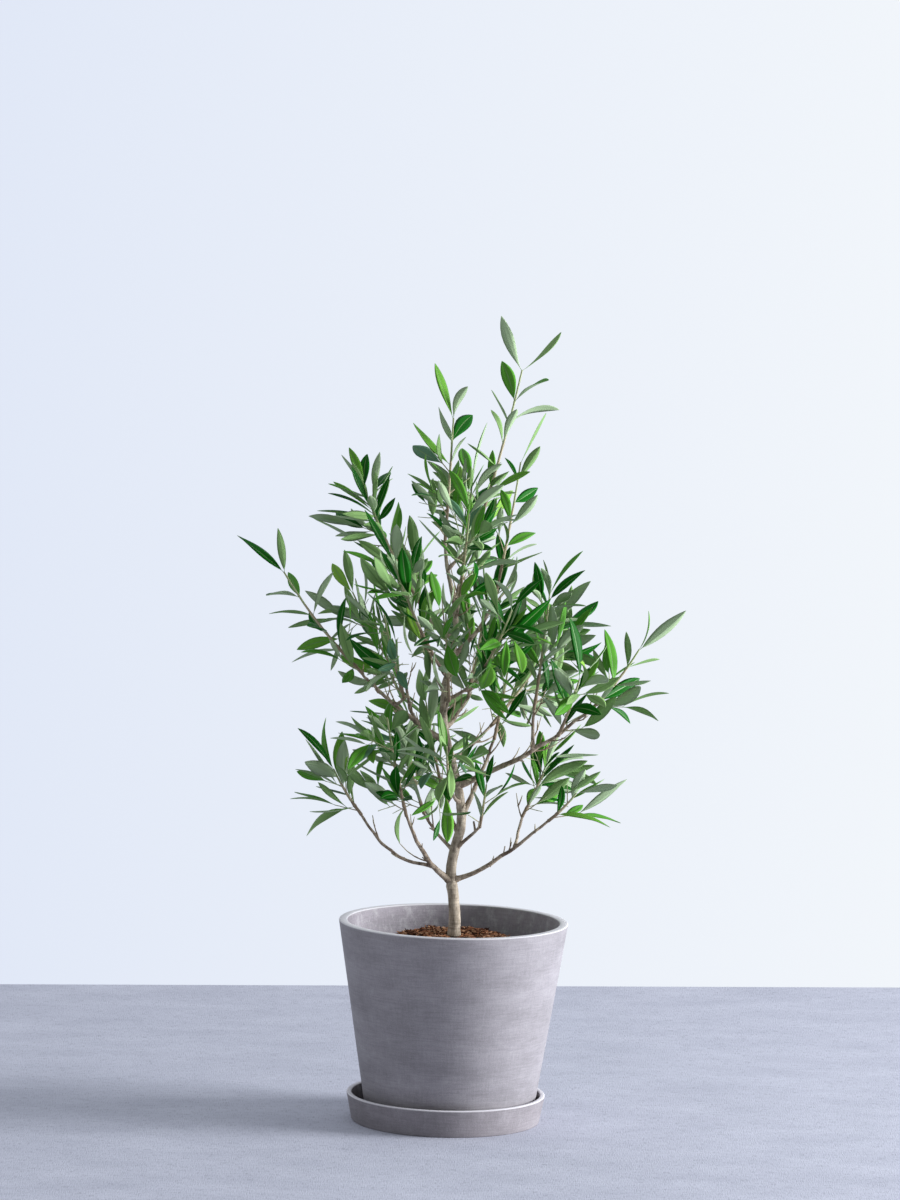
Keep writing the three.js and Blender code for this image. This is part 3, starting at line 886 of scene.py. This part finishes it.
EARTH_RINGS, EARTH_SIDES = 60, 220
CRUMB_SLICE, CRUMB_FRACTAL = 0.3, (0.8, 2.1, 5)  # height in the noise; its dimension, lacunarity and octaves
SOIL_LAYER, SOIL_ROUGHNESS, SOIL_CRUMBS = 0.03, 0.0022, 90
BED_REACH = 0.97
MOUND_RISE, MOUND_FALL, MOUND_LIMIT = 0.002, 0.002, 0.006
EDGE_FROM, EDGE_DROP = 0.9, 0.005
LUMPS, LUMP_RISE = 48, 0.0034
CHIP_COUNT, CHIP_REACH, CLEAR_OF_TRUNK = 2600, 1.02, 0.0075
CHIP_LENGTH, CHIP_WIDTH, CHIP_DEPTH = (0.004, 0.013), (0.0008, 0.003), (0.0007, 0.002)
CHIP_SHAPE = ((-0.5, 0.35), (-0.2, 0.9), (0.15, 1.0), (0.5, 0.25))  # place along a chip, fullness there
CHIP_TORN, CHIP_CURL, CHIP_LIFT = (0.7, 1.2), 0.2, 0.001
CHIP_TILTS = (("X", 0.7), ("Y", 0.45))  # the most tilt about each axis, in radians
CHIP_COLOURS = {
    "coir_dark": (0.062, 0.024, 0.013),
    "coir_brown": (0.185, 0.075, 0.037),
    "coir_russet": (0.32, 0.14, 0.07),
    "coir_tan": (0.46, 0.26, 0.155),
}
CHIP_GLOSS = (0.95, 0.1)  # roughness and specular
DARK_CHIPS = 1.3  # above 1, more of the chips are dark


def earth_heap(centre, radius, top, depth, height_at):
    """A round of earth: a flat underside, and a top whose height is told by place."""
    angles = np.linspace(0, 2 * math.pi, EARTH_SIDES, endpoint=False)
    foot = radius - POT_TAPER * depth
    points = [(foot * math.cos(a), foot * math.sin(a), top - depth) for a in angles]
    for ring in range(EARTH_RINGS):
        reach = radius * (1 - ring / EARTH_RINGS)
        for angle in angles:
            x, y = reach * math.cos(angle), reach * math.sin(angle)
            points.append((x, y, top + height_at(x, y)))
    faces = tube_faces(EARTH_RINGS + 1, EARTH_SIDES)
    return Heap().add(np.array(points) + [centre[0], centre[1], 0], faces)


def crumbs(x, y, scale):
    return noise.fractal(Vector((x * scale, y * scale, CRUMB_SLICE)), *CRUMB_FRACTAL)


def soil_material():
    material, tree, shader = new_material("potting_soil", roughness=0.95, specular=0.2)
    value = noise_value(tree, (260, 260, 260), 6, 0.7)
    stops = [(0.3, (0.012, 0.008, 0.006)), (0.52, (0.035, 0.022, 0.015)), (0.72, (0.09, 0.06, 0.04))]
    dress(tree, shader, ramp(tree, value, stops), value, depth=0.0012)
    return material


def make_soil():
    centre, radius, top = round_of("soil")

    def height_at(x, y):
        return SOIL_ROUGHNESS * (crumbs(x, y, SOIL_CRUMBS) - 1)

    heap = earth_heap(centre, radius, top, SOIL_LAYER, height_at)
    make_piece("soil_surface", heap, [soil_material()], ["soil"])


def chip_points(random):
    """A torn chip: a four-sided sliver whose ends are narrower than its middle."""
    length, width, depth = (between(limits, random()) for limits in (CHIP_LENGTH, CHIP_WIDTH, CHIP_DEPTH))
    curl = swing(random) * length * CHIP_CURL
    points = []
    for share, fullness in CHIP_SHAPE:
        lift = curl * (4 * share * share - 0.5)
        for across, up in ((1, 1), (-1, 1), (-1, -1), (1, -1)):
            aside = across * width / 2 * fullness * between(CHIP_TORN, random())
            height = lift + up * depth / 2 * fullness * between(CHIP_TORN, random())
            points.append((share * length, aside, height))
    return np.array(points)


def chip_stance(random):
    """A chip's turn: any way round, and a little tilted."""
    roll, pitch = (Matrix.Rotation(swing(random) * most, 3, axis) for axis, most in CHIP_TILTS)
    tilt = roll @ pitch
    return np.array(Matrix.Rotation(random() * 2 * math.pi, 3, "Z") @ tilt)


def add_chips(heap, centre, radius, top, height_at):
    random = seeded(LOOK_SEED)
    faces = tube_faces(len(CHIP_SHAPE), 4)
    foot = FOOT[:2]
    for _ in range(CHIP_COUNT):
        reach, turn = radius * CHIP_REACH * math.sqrt(random()), random() * 2 * math.pi
        x, y = reach * math.cos(turn), reach * math.sin(turn)
        stance = chip_stance(random)
        middle = (centre[0] + x, centre[1] + y, top + height_at(x, y) + CHIP_LIFT * random())
        points = chip_points(random) @ stance.T + middle
        kind = int(len(CHIP_COLOURS) * random() ** DARK_CHIPS)
        if np.hypot(*(points[:, :2] - foot).T).min() > CLEAR_OF_TRUNK:
            heap.add(points, faces, [kind] * len(faces))


def make_mulch():
    """A low mound of chips, let down so far that no chip stands too high."""
    centre, radius, top = round_of("mulch")

    def height_at(x, y):
        edge = min(1, math.hypot(x, y) / radius)
        drop = EDGE_DROP * max(0, edge - EDGE_FROM) / (1 - EDGE_FROM)
        return MOUND_RISE - MOUND_FALL * edge**2 - drop + LUMP_RISE * crumbs(x, y, LUMPS)

    heap = earth_heap(centre, radius * BED_REACH, top, top - centre[2], height_at)
    add_chips(heap, centre, radius, top, height_at)
    highest = max(part[:, 2].max() for part in heap.points)
    drop = max(0, highest - top - MOUND_LIMIT)
    heap.points = [part - [0, 0, drop] for part in heap.points]
    materials = [plain(name, colour, *CHIP_GLOSS) for name, colour in CHIP_COLOURS.items()]
    piece = make_piece("mulch_chips", heap, materials, ["mulch"])
    piece.data.shade_flat()


# ---- Bark ----

TRUNK_SIDES, TRUNK_STEP = 30, 1.2
BOUGH_SIDES, BOUGH_STEP = 14, 1.8
BARK_LUMPS, BARK_LUMP_RISE = 0.09, 0.055
BARK_GRAIN, BARK_GRAIN_RISE = np.array([0.9, 0.9, 0.22]), 0.12
RING_EVERY, RING_STEPS, RING_WIDTH = 13, (0.5, 1.5), 0.8
RING_RISE, RING_RISES, FULL_RINGS_FROM = 0.3, (0.4, 1), 6
COLLAR, COLLAR_LENGTH = 0.4, 1.6
KINK, KINK_EVERY = 1.5, (11, 24)
# Healed scars on the trunk: height, turn about it, size and rise.
KNOTS = [
    (64, 215, 5.5, 1.5),
    (118, 60, 4.5, 1.1),
    (186, 300, 4, 0.9),
    (262, 140, 4, 0.9),
    (20, 330, 3.5, 0.6),
]
KNOT_REACH = 6  # from the trunk's axis
DIMPLE, DIMPLE_SHARPNESS = 0.6, 2.4
# Bare stubs of cut or dead twigs: limb, share of its length, turn about it, length and radius.
STUBS = [
    ("left_low", 0.34, 20, 12, 0.9),
    ("left_low", 0.55, 200, 9, 0.7),
    ("right_stub", 0.8, 300, 13, 1.4),
    ("left_short", 0.55, 60, 12, 0.9),
    ("left_short", 0.8, 240, 8, 0.8),
    ("right_low", 0.5, 250, 10, 0.8),
    ("right", 0.4, 90, 9, 0.8),
    ("left", 0.45, 90, 11, 0.8),
    ("trunk", 0.31, 200, 9, 1.0),
    ("trunk", 0.4, 20, 12, 0.8),
]
STUB_STEP, STUB_SIDES, STUB_LEAN, STUB_LIFT = 2, 8, 1.1, 0.3
STUB_SHAPE = np.array([1.5, 1.25, 1.05, 1.0, 0.98, 0.9])
GREY_BARK = [(0.15, 0.116, 0.086), (0.33, 0.275, 0.21), (0.52, 0.445, 0.35)]
BROWN_BARK = [(0.14, 0.1, 0.075), (0.31, 0.245, 0.185), (0.5, 0.42, 0.33)]


def bark_relief(points, lengths, radii, random):
    """Millimetres that the bark stands out: lumps, fine grain along the limb and rings round it."""
    relief = np.zeros(radii.shape)
    for index in np.ndindex(radii.shape):
        lumps = noise.noise(Vector(points[index]) * BARK_LUMPS)
        grain = noise.noise(Vector(points[index] * BARK_GRAIN))
        relief[index] = BARK_LUMP_RISE * radii[index] * lumps + BARK_GRAIN_RISE * grain
    station = RING_EVERY * random()
    while station < lengths[-1]:
        rise = RING_RISE * between(RING_RISES, random()) * min(1, radii[0].mean() / FULL_RINGS_FROM)
        relief += rise * np.exp(-((lengths - station) / RING_WIDTH) ** 2)[:, None]
        station += RING_EVERY * between(RING_STEPS, random())
    return relief


def lengths_along(course):
    """How far along the course each of its points is."""
    return np.concatenate([[0], np.cumsum(np.linalg.norm(np.diff(course, axis=0), axis=1))])


def crooked(course, random):
    """The course pushed aside at uneven nodes and straight between them, with its two ends kept."""
    lengths = lengths_along(course)
    nodes, shifts = [0], [np.zeros(3)]
    while nodes[-1] < lengths[-1] - KINK_EVERY[1]:
        nodes.append(nodes[-1] + between(KINK_EVERY, random()))
        shifts.append(np.array([swing(random) for _ in range(3)]) * KINK)
    nodes.append(lengths[-1])
    shifts.append(np.zeros(3))
    return course + np.stack([np.interp(lengths, nodes, along) for along in np.array(shifts).T], axis=1)


def limb_rings(limb, sides, step, random):
    """A limb's fine course, the way along it and its radii; a bough is crooked and has a collar."""
    course = smooth_course(limb.course, step)
    if limb.parent:
        course = crooked(course, random)
    lengths = lengths_along(course)
    radii = limb.radius_at(lengths / lengths[-1])
    if limb.parent:
        out = np.maximum(0, lengths - limb.parent.thickness)
        radii = radii * (1 + COLLAR * np.exp(-out / (COLLAR_LENGTH * limb.thickness)))
    return course, lengths, np.repeat(radii[:, None], sides, axis=1)


def knot_bumps(points):
    """The trunk's knots: a swelling with a dimple in it."""
    bumps = np.zeros(points.shape[:2])
    for height, turn, size, rise in KNOTS:
        middle = np.array(trunk_point(height)) + spot((KNOT_REACH, turn, 0))
        away = np.linalg.norm(points - middle, axis=2) / size
        bumps += rise * np.exp(-away**2) - DIMPLE * rise * np.exp(-(away * DIMPLE_SHARPNESS) ** 2)
    return bumps


def add_limb(heap, limb, sides, step, random):
    course, lengths, radii = limb_rings(limb, sides, step, random)
    smooth = rings_along(course, radii)
    relief = bark_relief(smooth, lengths, radii, random)
    if not limb.parent:
        relief += knot_bumps(smooth)
    add_tube(heap, course, radii + relief)


def add_stub(heap, limb, share, turn, length, radius):
    course = smooth_course(limb.course, STUB_STEP)
    outward = outward_at(course, share, turn)
    way = unit(heading_on(course, share) + STUB_LEAN * outward + STUB_LIFT * UP)
    reach = length + limb.radius_at(share)
    line = point_on(course, share) + np.outer(np.linspace(0, 1, len(STUB_SHAPE)), way) * reach
    add_tube(heap, line, np.repeat(STUB_SHAPE[:, None] * radius, STUB_SIDES, axis=1))


def bark_material(name, shades):
    """Smooth bark: blotches, streaks along the limb, faint rings round it, and pale flecks."""
    material, tree, shader = new_material(name, roughness=0.82, specular=0.3)
    blotches = noise_value(tree, (110, 110, 60), 5)
    streaks = noise_value(tree, (480, 480, 70), 5, 0.7)
    rings = noise_value(tree, (45, 45, 330), 3)
    flecks = noise_value(tree, (700, 700, 260), 3)
    colour = ramp(tree, blotches, list(zip((0.34, 0.5, 0.68), shades)))
    colour = shaded(tree, colour, streaks, (0.36, 0.74), (0.54, 1.08))
    colour = shaded(tree, colour, rings, (0.3, 0.7), (0.48, 1.08))
    colour = flecked(tree, colour, flecks, (0.6, 0.75), 0.14)
    dress(tree, shader, colour, added(tree, rings, streaks, blotches), depth=0.0005)
    return material


def make_limbs(limbs):
    random = seeded(LOOK_SEED + 1)
    trunk, boughs = Heap(), Heap()
    add_limb(trunk, limbs["trunk"], TRUNK_SIDES, TRUNK_STEP, random)
    for row in LIMBS:
        add_limb(boughs, limbs[row.name], BOUGH_SIDES, BOUGH_STEP, random)
    for name, *stub in STUBS:
        add_stub(boughs, limbs[name], *stub)
    make_piece("trunk_bark", trunk, [bark_material("bark_grey", GREY_BARK)], ["trunk"])
    nodes = [f"bough_{row.name}" for row in LIMBS]
    make_piece("bough_bark", boughs, [bark_material("bark_brown", BROWN_BARK)], nodes)


# ---- Twigs ----

STEM_ROUNDNESS, TWIG_ROUNDNESS = 1, 0.72  # a round twig's radius, for a three-sided one's in the solids
STEM_SIDES, TWIG_SIDES, TWIG_STEP = 8, 6, 3.5
TWIG_SUNK, TWIG_KINK, TIP_TAPER = 1.5, 0.16, 0.8
NODE_SWELLING, NODE_LENGTH = 0.25, 2
TWIG_LOOKS = [
    ("twig_wood", (0.26, 0.195, 0.135), 0.8, 0.3),
    ("twig_skin", (0.43, 0.37, 0.24), 0.7, 0.3),
    ("twig_young", (0.36, 0.4, 0.2), 0.6, 0.4),
]
BARE = TwigRule(1.5, 0.8, first_node=9, internode=11, leafy_from=0, skinned_from=0.5, young_from=2)
BARE_EVERY, BARE_EVERY_LOW, LOW_BOUGH = 15, 42, 200
BARE_LENGTH, BARE_SHORTNESS = (14, 50), 1.5
BARE_FROM, BARE_LEAN, BARE_RISE = 0.2, (24, 52), 0.35
BARE_SWEEP, BARE_STEPS = 0.11, 3
BARE_FORKED, BARE_FORK_AT = 0.5, (0.4, 0.7)


def add_twig(heap, twig, random):
    is_stem = twig.rule is STEM
    start = twig.course[0] - heading_on(twig.course, 0) * TWIG_SUNK
    course = smooth_course(np.vstack([start, twig.course[1:]]), TWIG_STEP)
    for point in course[1:-1]:
        point += [swing(random) * TWIG_KINK for _ in range(3)]
    shares = np.linspace(0, 1, len(course))
    roundness = STEM_ROUNDNESS if is_stem else TWIG_ROUNDNESS
    radii = roundness * tapering(twig.rule.root, twig.rule.tip * TIP_TAPER)(shares)
    length = length_of(twig.course)
    for share in node_shares(length, twig.rule.first_node, twig.rule.internode):
        radii *= 1 + NODE_SWELLING * np.exp(-((shares - share) * length / NODE_LENGTH) ** 2)
    sides = STEM_SIDES if is_stem else TWIG_SIDES
    rings = np.repeat(radii[:, None], sides, axis=1)
    add_tube(heap, course, rings, twig_kinds(twig.rule, *rings.shape))


def twig_kinds(rule, rings, sides):
    """Rows of TWIG_LOOKS: wood at the foot, then skin, and young from there to the tip."""
    shares = [ring / (rings - 1) for ring in range(rings - 1)]
    kinds = [(share >= rule.skinned_from) + (share >= rule.young_from) for share in shares]
    return [kind for kind in kinds for _ in range(sides)] + [kinds[0], kinds[-1]]


def bare_way(course, share, turn, random):
    """The heading of a bare twig that leaves a course: it always rises."""
    way = leaned(heading_on(course, share), outward_at(course, share, turn), BARE_LEAN, random)
    return unit(way * [1, 1, 0] + UP * (abs(way[2]) + BARE_RISE))


def add_bare_twig(heap, base, way, length, random):
    twig = Twig(swept_course(base, base + way * length, BARE_SWEEP, BARE_STEPS), BARE)
    add_twig(heap, twig, random)
    return twig


def add_bare_twigs(heap, limb, random):
    """Leafless twigs in a spiral along a bough, some of which fork once."""
    start = random() * 360
    every = BARE_EVERY if limb.course[-1][2] > LOW_BOUGH else BARE_EVERY_LOW
    shares = node_shares(length_of(limb.course), every, every)
    for i, share in enumerate(share for share in shares if BARE_FROM < share < 1):
        way = bare_way(limb.course, share, start + SPIRAL * i, random)
        length = between(BARE_LENGTH, random() ** BARE_SHORTNESS)
        twig = add_bare_twig(heap, point_on(limb.course, share), way, length, random)
        if random() < BARE_FORKED:
            fork = between(BARE_FORK_AT, random())
            way = bare_way(twig.course, fork, random() * 360, random)
            add_bare_twig(heap, point_on(twig.course, fork), way, BARE_LENGTH[0], random)


def make_twigs(masses, limbs):
    heap = Heap()
    random = seeded(LOOK_SEED + 2)
    for mass in masses:
        for twig in mass.twigs:
            add_twig(heap, twig, random)
    for limb in limbs[1:]:
        add_bare_twigs(heap, limb, random)
    make_piece("twigs", heap, [plain(*look) for look in TWIG_LOOKS], [])


# ---- Leaf blades ----

BLADE_SHARES = np.array([0, 0.035, 0.07, 0.12, 0.2, 0.3, 0.42, 0.54, 0.66, 0.77, 0.86, 0.93, 0.975, 1])
PETIOLE_SHARE, STALK_WIDTH = 0.06, 0.8
BLADE_WIDTH = 0.71  # a curved blade covers as much as a wider four-cornered one
BLADE_FULLNESS = 0.84  # below 1 the ends are rounder, above it longer drawn
FULLEST = (0.46, 0.62)
# Places across a blade, as shares of its half width: over the top, then back along the underside.
TOP_PLACES = np.array([1, 0.55, 0.06, -0.06, -0.55, -1])
UNDER_PLACES = np.array([-0.5, -0.07, 0.07, 0.5])
BLADE_DEPTH, MARGIN_CURL = 0.4, 0.2
GROOVE, GROOVE_WIDTH = 0.18, 0.16
RIB_DEPTH, RIB_WIDTH, FULL_RIB_FROM = 0.5, 0.2, 3
ARCH, SICKLE, FOLD = (-0.3, 0.95), 0.38, (0.1, 0.45)
TWIST, TWIST_FROM = 0.75, 0.2
CROWN_TIERS = [("lower", 215), ("middle", 400), ("upper", math.inf)]

TOPS = {
    "deep": (0.006, 0.108, 0.004),
    "green": (0.083, 0.278, 0.027),
    "fresh": (0.125, 0.33, 0.038),
    "sage": (0.225, 0.378, 0.133),
    # This bluish green top is partly the leaf's own tone and partly a painted sheen of the sky.
    "blue_and_sheen": (0.1, 0.222, 0.122),
    "young": (0.2, 0.4, 0.05),
}
UNDERS = {"silver": (0.32, 0.43, 0.25), "pale": (0.19, 0.33, 0.115)}
RIB = (0.13, 0.25, 0.075)
TOP_GLOSS, UNDER_GLOSS, RIB_GLOSS = (0.42, 0.07), (0.65, 0.15), (0.5, 0.4)
LEAF_KINDS = [*TOPS, *UNDERS, "rib"]
SPRAYS = [
    ("deep", "deep", "green"),
    ("green", "deep", "sage"),
    ("green", "fresh", "deep"),
    ("sage", "blue_and_sheen", "green"),
]
YOUNG_TIPS, YOUNGEST_TIPS, SILVER_UNDERS = 0.2, 0.5, 0.6


def blade_half_widths(leaf, fullest):
    """Half the width at each of BLADE_SHARES, for a blade that is at its fullest at that share of it."""
    share = np.clip((BLADE_SHARES - PETIOLE_SHARE) / (1 - PETIOLE_SHARE), 0, 1)
    blade = np.sin(math.pi * share ** (math.log(0.5) / math.log(fullest))) ** BLADE_FULLNESS
    return np.maximum(leaf.width * BLADE_WIDTH / 2 * blade, STALK_WIDTH / 2 * np.sqrt(1 - share))


def blade_line(leaf, random):
    """The midrib's points and, at each, the blade's own side and face."""
    bend = BLADE_SHARES - 0.5
    arch, sickle, twist = between(ARCH, random()), swing(random) * SICKLE, swing(random) * TWIST
    side = leaf_side(leaf)
    headings = leaf.heading - np.outer(arch * bend, leaf.face) + np.outer(sickle * bend, side)
    headings /= np.linalg.norm(headings, axis=1)[:, None]
    steps = np.diff(BLADE_SHARES)[:, None] * (headings[1:] + headings[:-1]) / 2
    line = leaf.base + leaf.length * np.vstack([np.zeros(3), np.cumsum(steps, axis=0)])
    tilts = twist * (BLADE_SHARES - TWIST_FROM)
    faces = np.outer(np.cos(tilts), leaf.face) + np.outer(np.sin(tilts), side)
    faces -= (faces * headings).sum(1)[:, None] * headings
    faces /= np.linalg.norm(faces, axis=1)[:, None]
    return line, np.cross(faces, headings), faces


def blade_points(leaf, random):
    line, sides, faces = blade_line(leaf, random)
    half = blade_half_widths(leaf, between(FULLEST, random()))[:, None]
    fold = between(FOLD, random())
    is_blade = (BLADE_SHARES > PETIOLE_SHARE)[:, None]

    def surface(across):
        groove = GROOVE * np.exp(-(across / GROOVE_WIDTH) ** 2)
        return half * is_blade * (fold * np.abs(across) - groove - MARGIN_CURL * across**4)

    rib = RIB_DEPTH * np.exp(-(UNDER_PLACES / RIB_WIDTH) ** 2) * np.minimum(1, half / FULL_RIB_FROM)
    aside = half * np.concatenate([TOP_PLACES, UNDER_PLACES])
    height = np.hstack([surface(TOP_PLACES), surface(UNDER_PLACES) - BLADE_DEPTH - rib])
    points = line[:, None] + sides[:, None] * aside[..., None] + faces[:, None] * height[..., None]
    return points.reshape(-1, 3)


def blade_kinds(top, under, rib):
    """The kinds of the faces between two rings, over all rings, and then of the two caps."""
    between_rings = [top, top, rib, top, top] + [under] * (len(UNDER_PLACES) + 1)
    return between_rings * (len(BLADE_SHARES) - 1) + [rib, top]


def leaf_colours(spray, leaf, random):
    """The kinds of a leaf's top, underside and rib: its spray's top, or a young one on some twigs' tips."""
    top = spray[int(len(spray) * random())]
    if leaf.at_tip and random() < YOUNG_TIPS:
        top = "young" if random() < YOUNGEST_TIPS else "fresh"
    under = "silver" if random() < SILVER_UNDERS else "pale"
    return [LEAF_KINDS.index(name) for name in (top, under, "rib")]


def leaf_materials():
    tops = [plain(f"leaf_{name}", colour, *TOP_GLOSS) for name, colour in TOPS.items()]
    unders = [plain(f"underside_{name}", colour, *UNDER_GLOSS) for name, colour in UNDERS.items()]
    return tops + unders + [plain("leaf_rib", RIB, *RIB_GLOSS)]


def make_leaves(masses):
    random = seeded(LOOK_SEED + 3)
    faces = tube_faces(len(BLADE_SHARES), len(TOP_PLACES) + len(UNDER_PLACES))
    heaps = {name: Heap() for name, _ in CROWN_TIERS}
    replaced = {name: [] for name, _ in CROWN_TIERS}
    for mass in masses:
        tier = next(name for name, height in CROWN_TIERS if mass.stem.course[0][2] < height)
        replaced[tier].append(f"foliage_{mass.stem.row.name}")
        sprays = {}
        for leaf in mass.leaves:
            spray = sprays.setdefault(leaf.twig, SPRAYS[int(len(SPRAYS) * random())])
            points = blade_points(leaf, random)
            heaps[tier].add(to_frame(points), faces, blade_kinds(*leaf_colours(spray, leaf, random)))
    materials = leaf_materials()
    for tier, heap in heaps.items():
        make_piece(f"leaves_{tier}", heap, materials, replaced[tier])


def make_tree():
    limbs = grow_limbs()
    stems = [mass_stem(row, limbs[row.name]) for row in LIMBS] + [mass_stem(TOP, limbs["trunk"])]
    plant = Plant(stems, list(limbs.values()))
    masses = [grow_mass(index, plant) for index in range(len(stems))]
    for mass in masses:
        carry_on(mass)
    make_limbs(limbs)
    make_twigs(masses, plant.limbs)
    make_leaves(masses)


# ---- Stage, light and camera ----

FLOOR_BACK, FLOOR_REACH = 1.03, 5.0
FLOOR_SLANT = 0.12  # the floor's back edge runs a little away from the camera towards the right
FLOOR_FADE = (1.2, 2.3)
FLOOR_COLOURS = [(0.3, (0.424, 0.434, 0.504)), (0.7, (0.502, 0.512, 0.586))]
BACKDROP = (0.83, 0.88, 0.96)
BACKDROP_LEFT, BACKDROP_RIGHT, BACKDROP_SPREAD = (0.755, 0.81, 0.93), (0.885, 0.92, 0.965), (-0.09, 0.09)
AMBIENT_FRONT, AMBIENT_BACK = (0.312, 0.324, 0.345), (0.79, 0.84, 0.92)
WINDOW_PLACE, WINDOW_SIZE, WINDOW_POWER = (4.35, -0.3, 1.1), 2.2, 372
WINDOW_AIM, WINDOW_COLOUR = (0, 0, 0.5), (0.965, 0.985, 1.02)
CAMERA_PLACE, CAMERA_LENS = (-0.0098, -6.466, 1.287), 150
CAMERA_PITCH, CAMERA_ROLL = 5.33, 1.38


def end_in_mix(tree, output, share, first, second):
    """Leads a mix of two shaders to the output node."""
    mix = new_node(tree, "MixShader", {0: share, 1: first, 2: second})
    set_inputs(tree, tree.nodes[output], {"Surface": mix.outputs["Shader"]})


def floor_material():
    """Pale grey floor that turns into the backdrop's colour far from the pot."""
    material, tree, shader = new_material("floor", roughness=0.9, specular=0)
    colour = ramp(tree, noise_value(tree, (7, 14, 7), 6, 0.65), FLOOR_COLOURS)
    weave = added(tree, noise_value(tree, (700, 60, 1), 3), noise_value(tree, (60, 300, 1), 3))
    colour = shaded(tree, colour, weave, (0.7, 0.83), (1, 1.17))
    dress(tree, shader, colour, weave, depth=0.0003)
    reach = new_node(tree, "VectorMath", {0: frame_coordinates(tree, (1, 1, 0))}, operation="LENGTH")
    fade = mapped(tree, reach.outputs["Value"], FLOOR_FADE, interpolation="SMOOTHSTEP")
    glow = new_node(tree, "Emission", {"Color": (*BACKDROP, 1)})
    end_in_mix(tree, "Material Output", fade, shader.outputs["BSDF"], glow.outputs["Emission"])
    return material


def make_floor():
    mesh = bpy.data.meshes.new("floor")
    slant = FLOOR_SLANT * FLOOR_REACH
    corners = [(-FLOOR_REACH, -FLOOR_REACH, 0), (FLOOR_REACH, -FLOOR_REACH, 0),
               (FLOOR_REACH, FLOOR_BACK + slant, 0), (-FLOOR_REACH, FLOOR_BACK - slant, 0)]
    mesh.from_pydata(corners, [], [(0, 1, 2, 3)])
    mesh.materials.append(floor_material())
    floor = new_object("floor", mesh)


def make_window():
    """A broad soft light that stands low on the right."""
    light = bpy.data.lights.new("window", "AREA")
    light.shape = "DISK"
    light.size = WINDOW_SIZE
    light.energy = WINDOW_POWER
    light.color = WINDOW_COLOUR
    lamp = new_object("window", light)
    lamp.location = WINDOW_PLACE
    lamp.rotation_euler = (Vector(WINDOW_AIM) - Vector(WINDOW_PLACE)).to_track_quat("-Z", "Y").to_euler()


def graded(tree, axis, span, first, last):
    """A colour that goes from the first to the last as the view's direction turns along an axis."""
    direction = new_node(tree, "TexCoord", {}).outputs["Generated"]
    parts = new_node(tree, "SeparateXYZ", {"Vector": direction})
    return ramp(tree, mapped(tree, parts.outputs[axis], span), [(0, first), (1, last)])


def make_world():
    """A cool light from all round, stronger from the back, with a pale backdrop for the camera to see."""
    world = bpy.data.worlds.new("studio")
    world.use_nodes = True
    tree = world.node_tree
    ambient = tree.nodes["Background"]
    set_inputs(tree, ambient, {"Color": graded(tree, "Y", (-1, 1), AMBIENT_FRONT, AMBIENT_BACK)})
    backdrop = graded(tree, "X", BACKDROP_SPREAD, BACKDROP_LEFT, BACKDROP_RIGHT)
    seen = new_node(tree, "Background", {"Color": backdrop})
    is_seen = new_node(tree, "LightPath", {}).outputs["Is Camera Ray"]
    end_in_mix(tree, "World Output", is_seen, ambient.outputs[0], seen.outputs[0])
    bpy.context.scene.world = world


def make_camera():
    data = bpy.data.cameras.new("camera")
    data.lens = CAMERA_LENS
    camera = new_object("camera", data)
    tilt = Matrix.Rotation(math.radians(90 - CAMERA_PITCH), 4, "X")
    roll = Matrix.Rotation(math.radians(CAMERA_ROLL), 4, "Z")
    camera.matrix_world = Matrix.Translation(CAMERA_PLACE) @ tilt @ roll
    bpy.context.scene.camera = camera


make_camera()
make_world()
make_floor()
make_window()
bpy.context.scene.view_settings.view_transform = "Standard"
make_vessel("saucer", SAUCER_SPLAY, SAUCER_WALL, SAUCER_FLOOR, SAUCER_FINISHES)
make_vessel("pot", POT_TAPER, POT_WALL, POT_FLOOR, POT_FINISHES)
make_soil()
make_mulch()
make_tree()
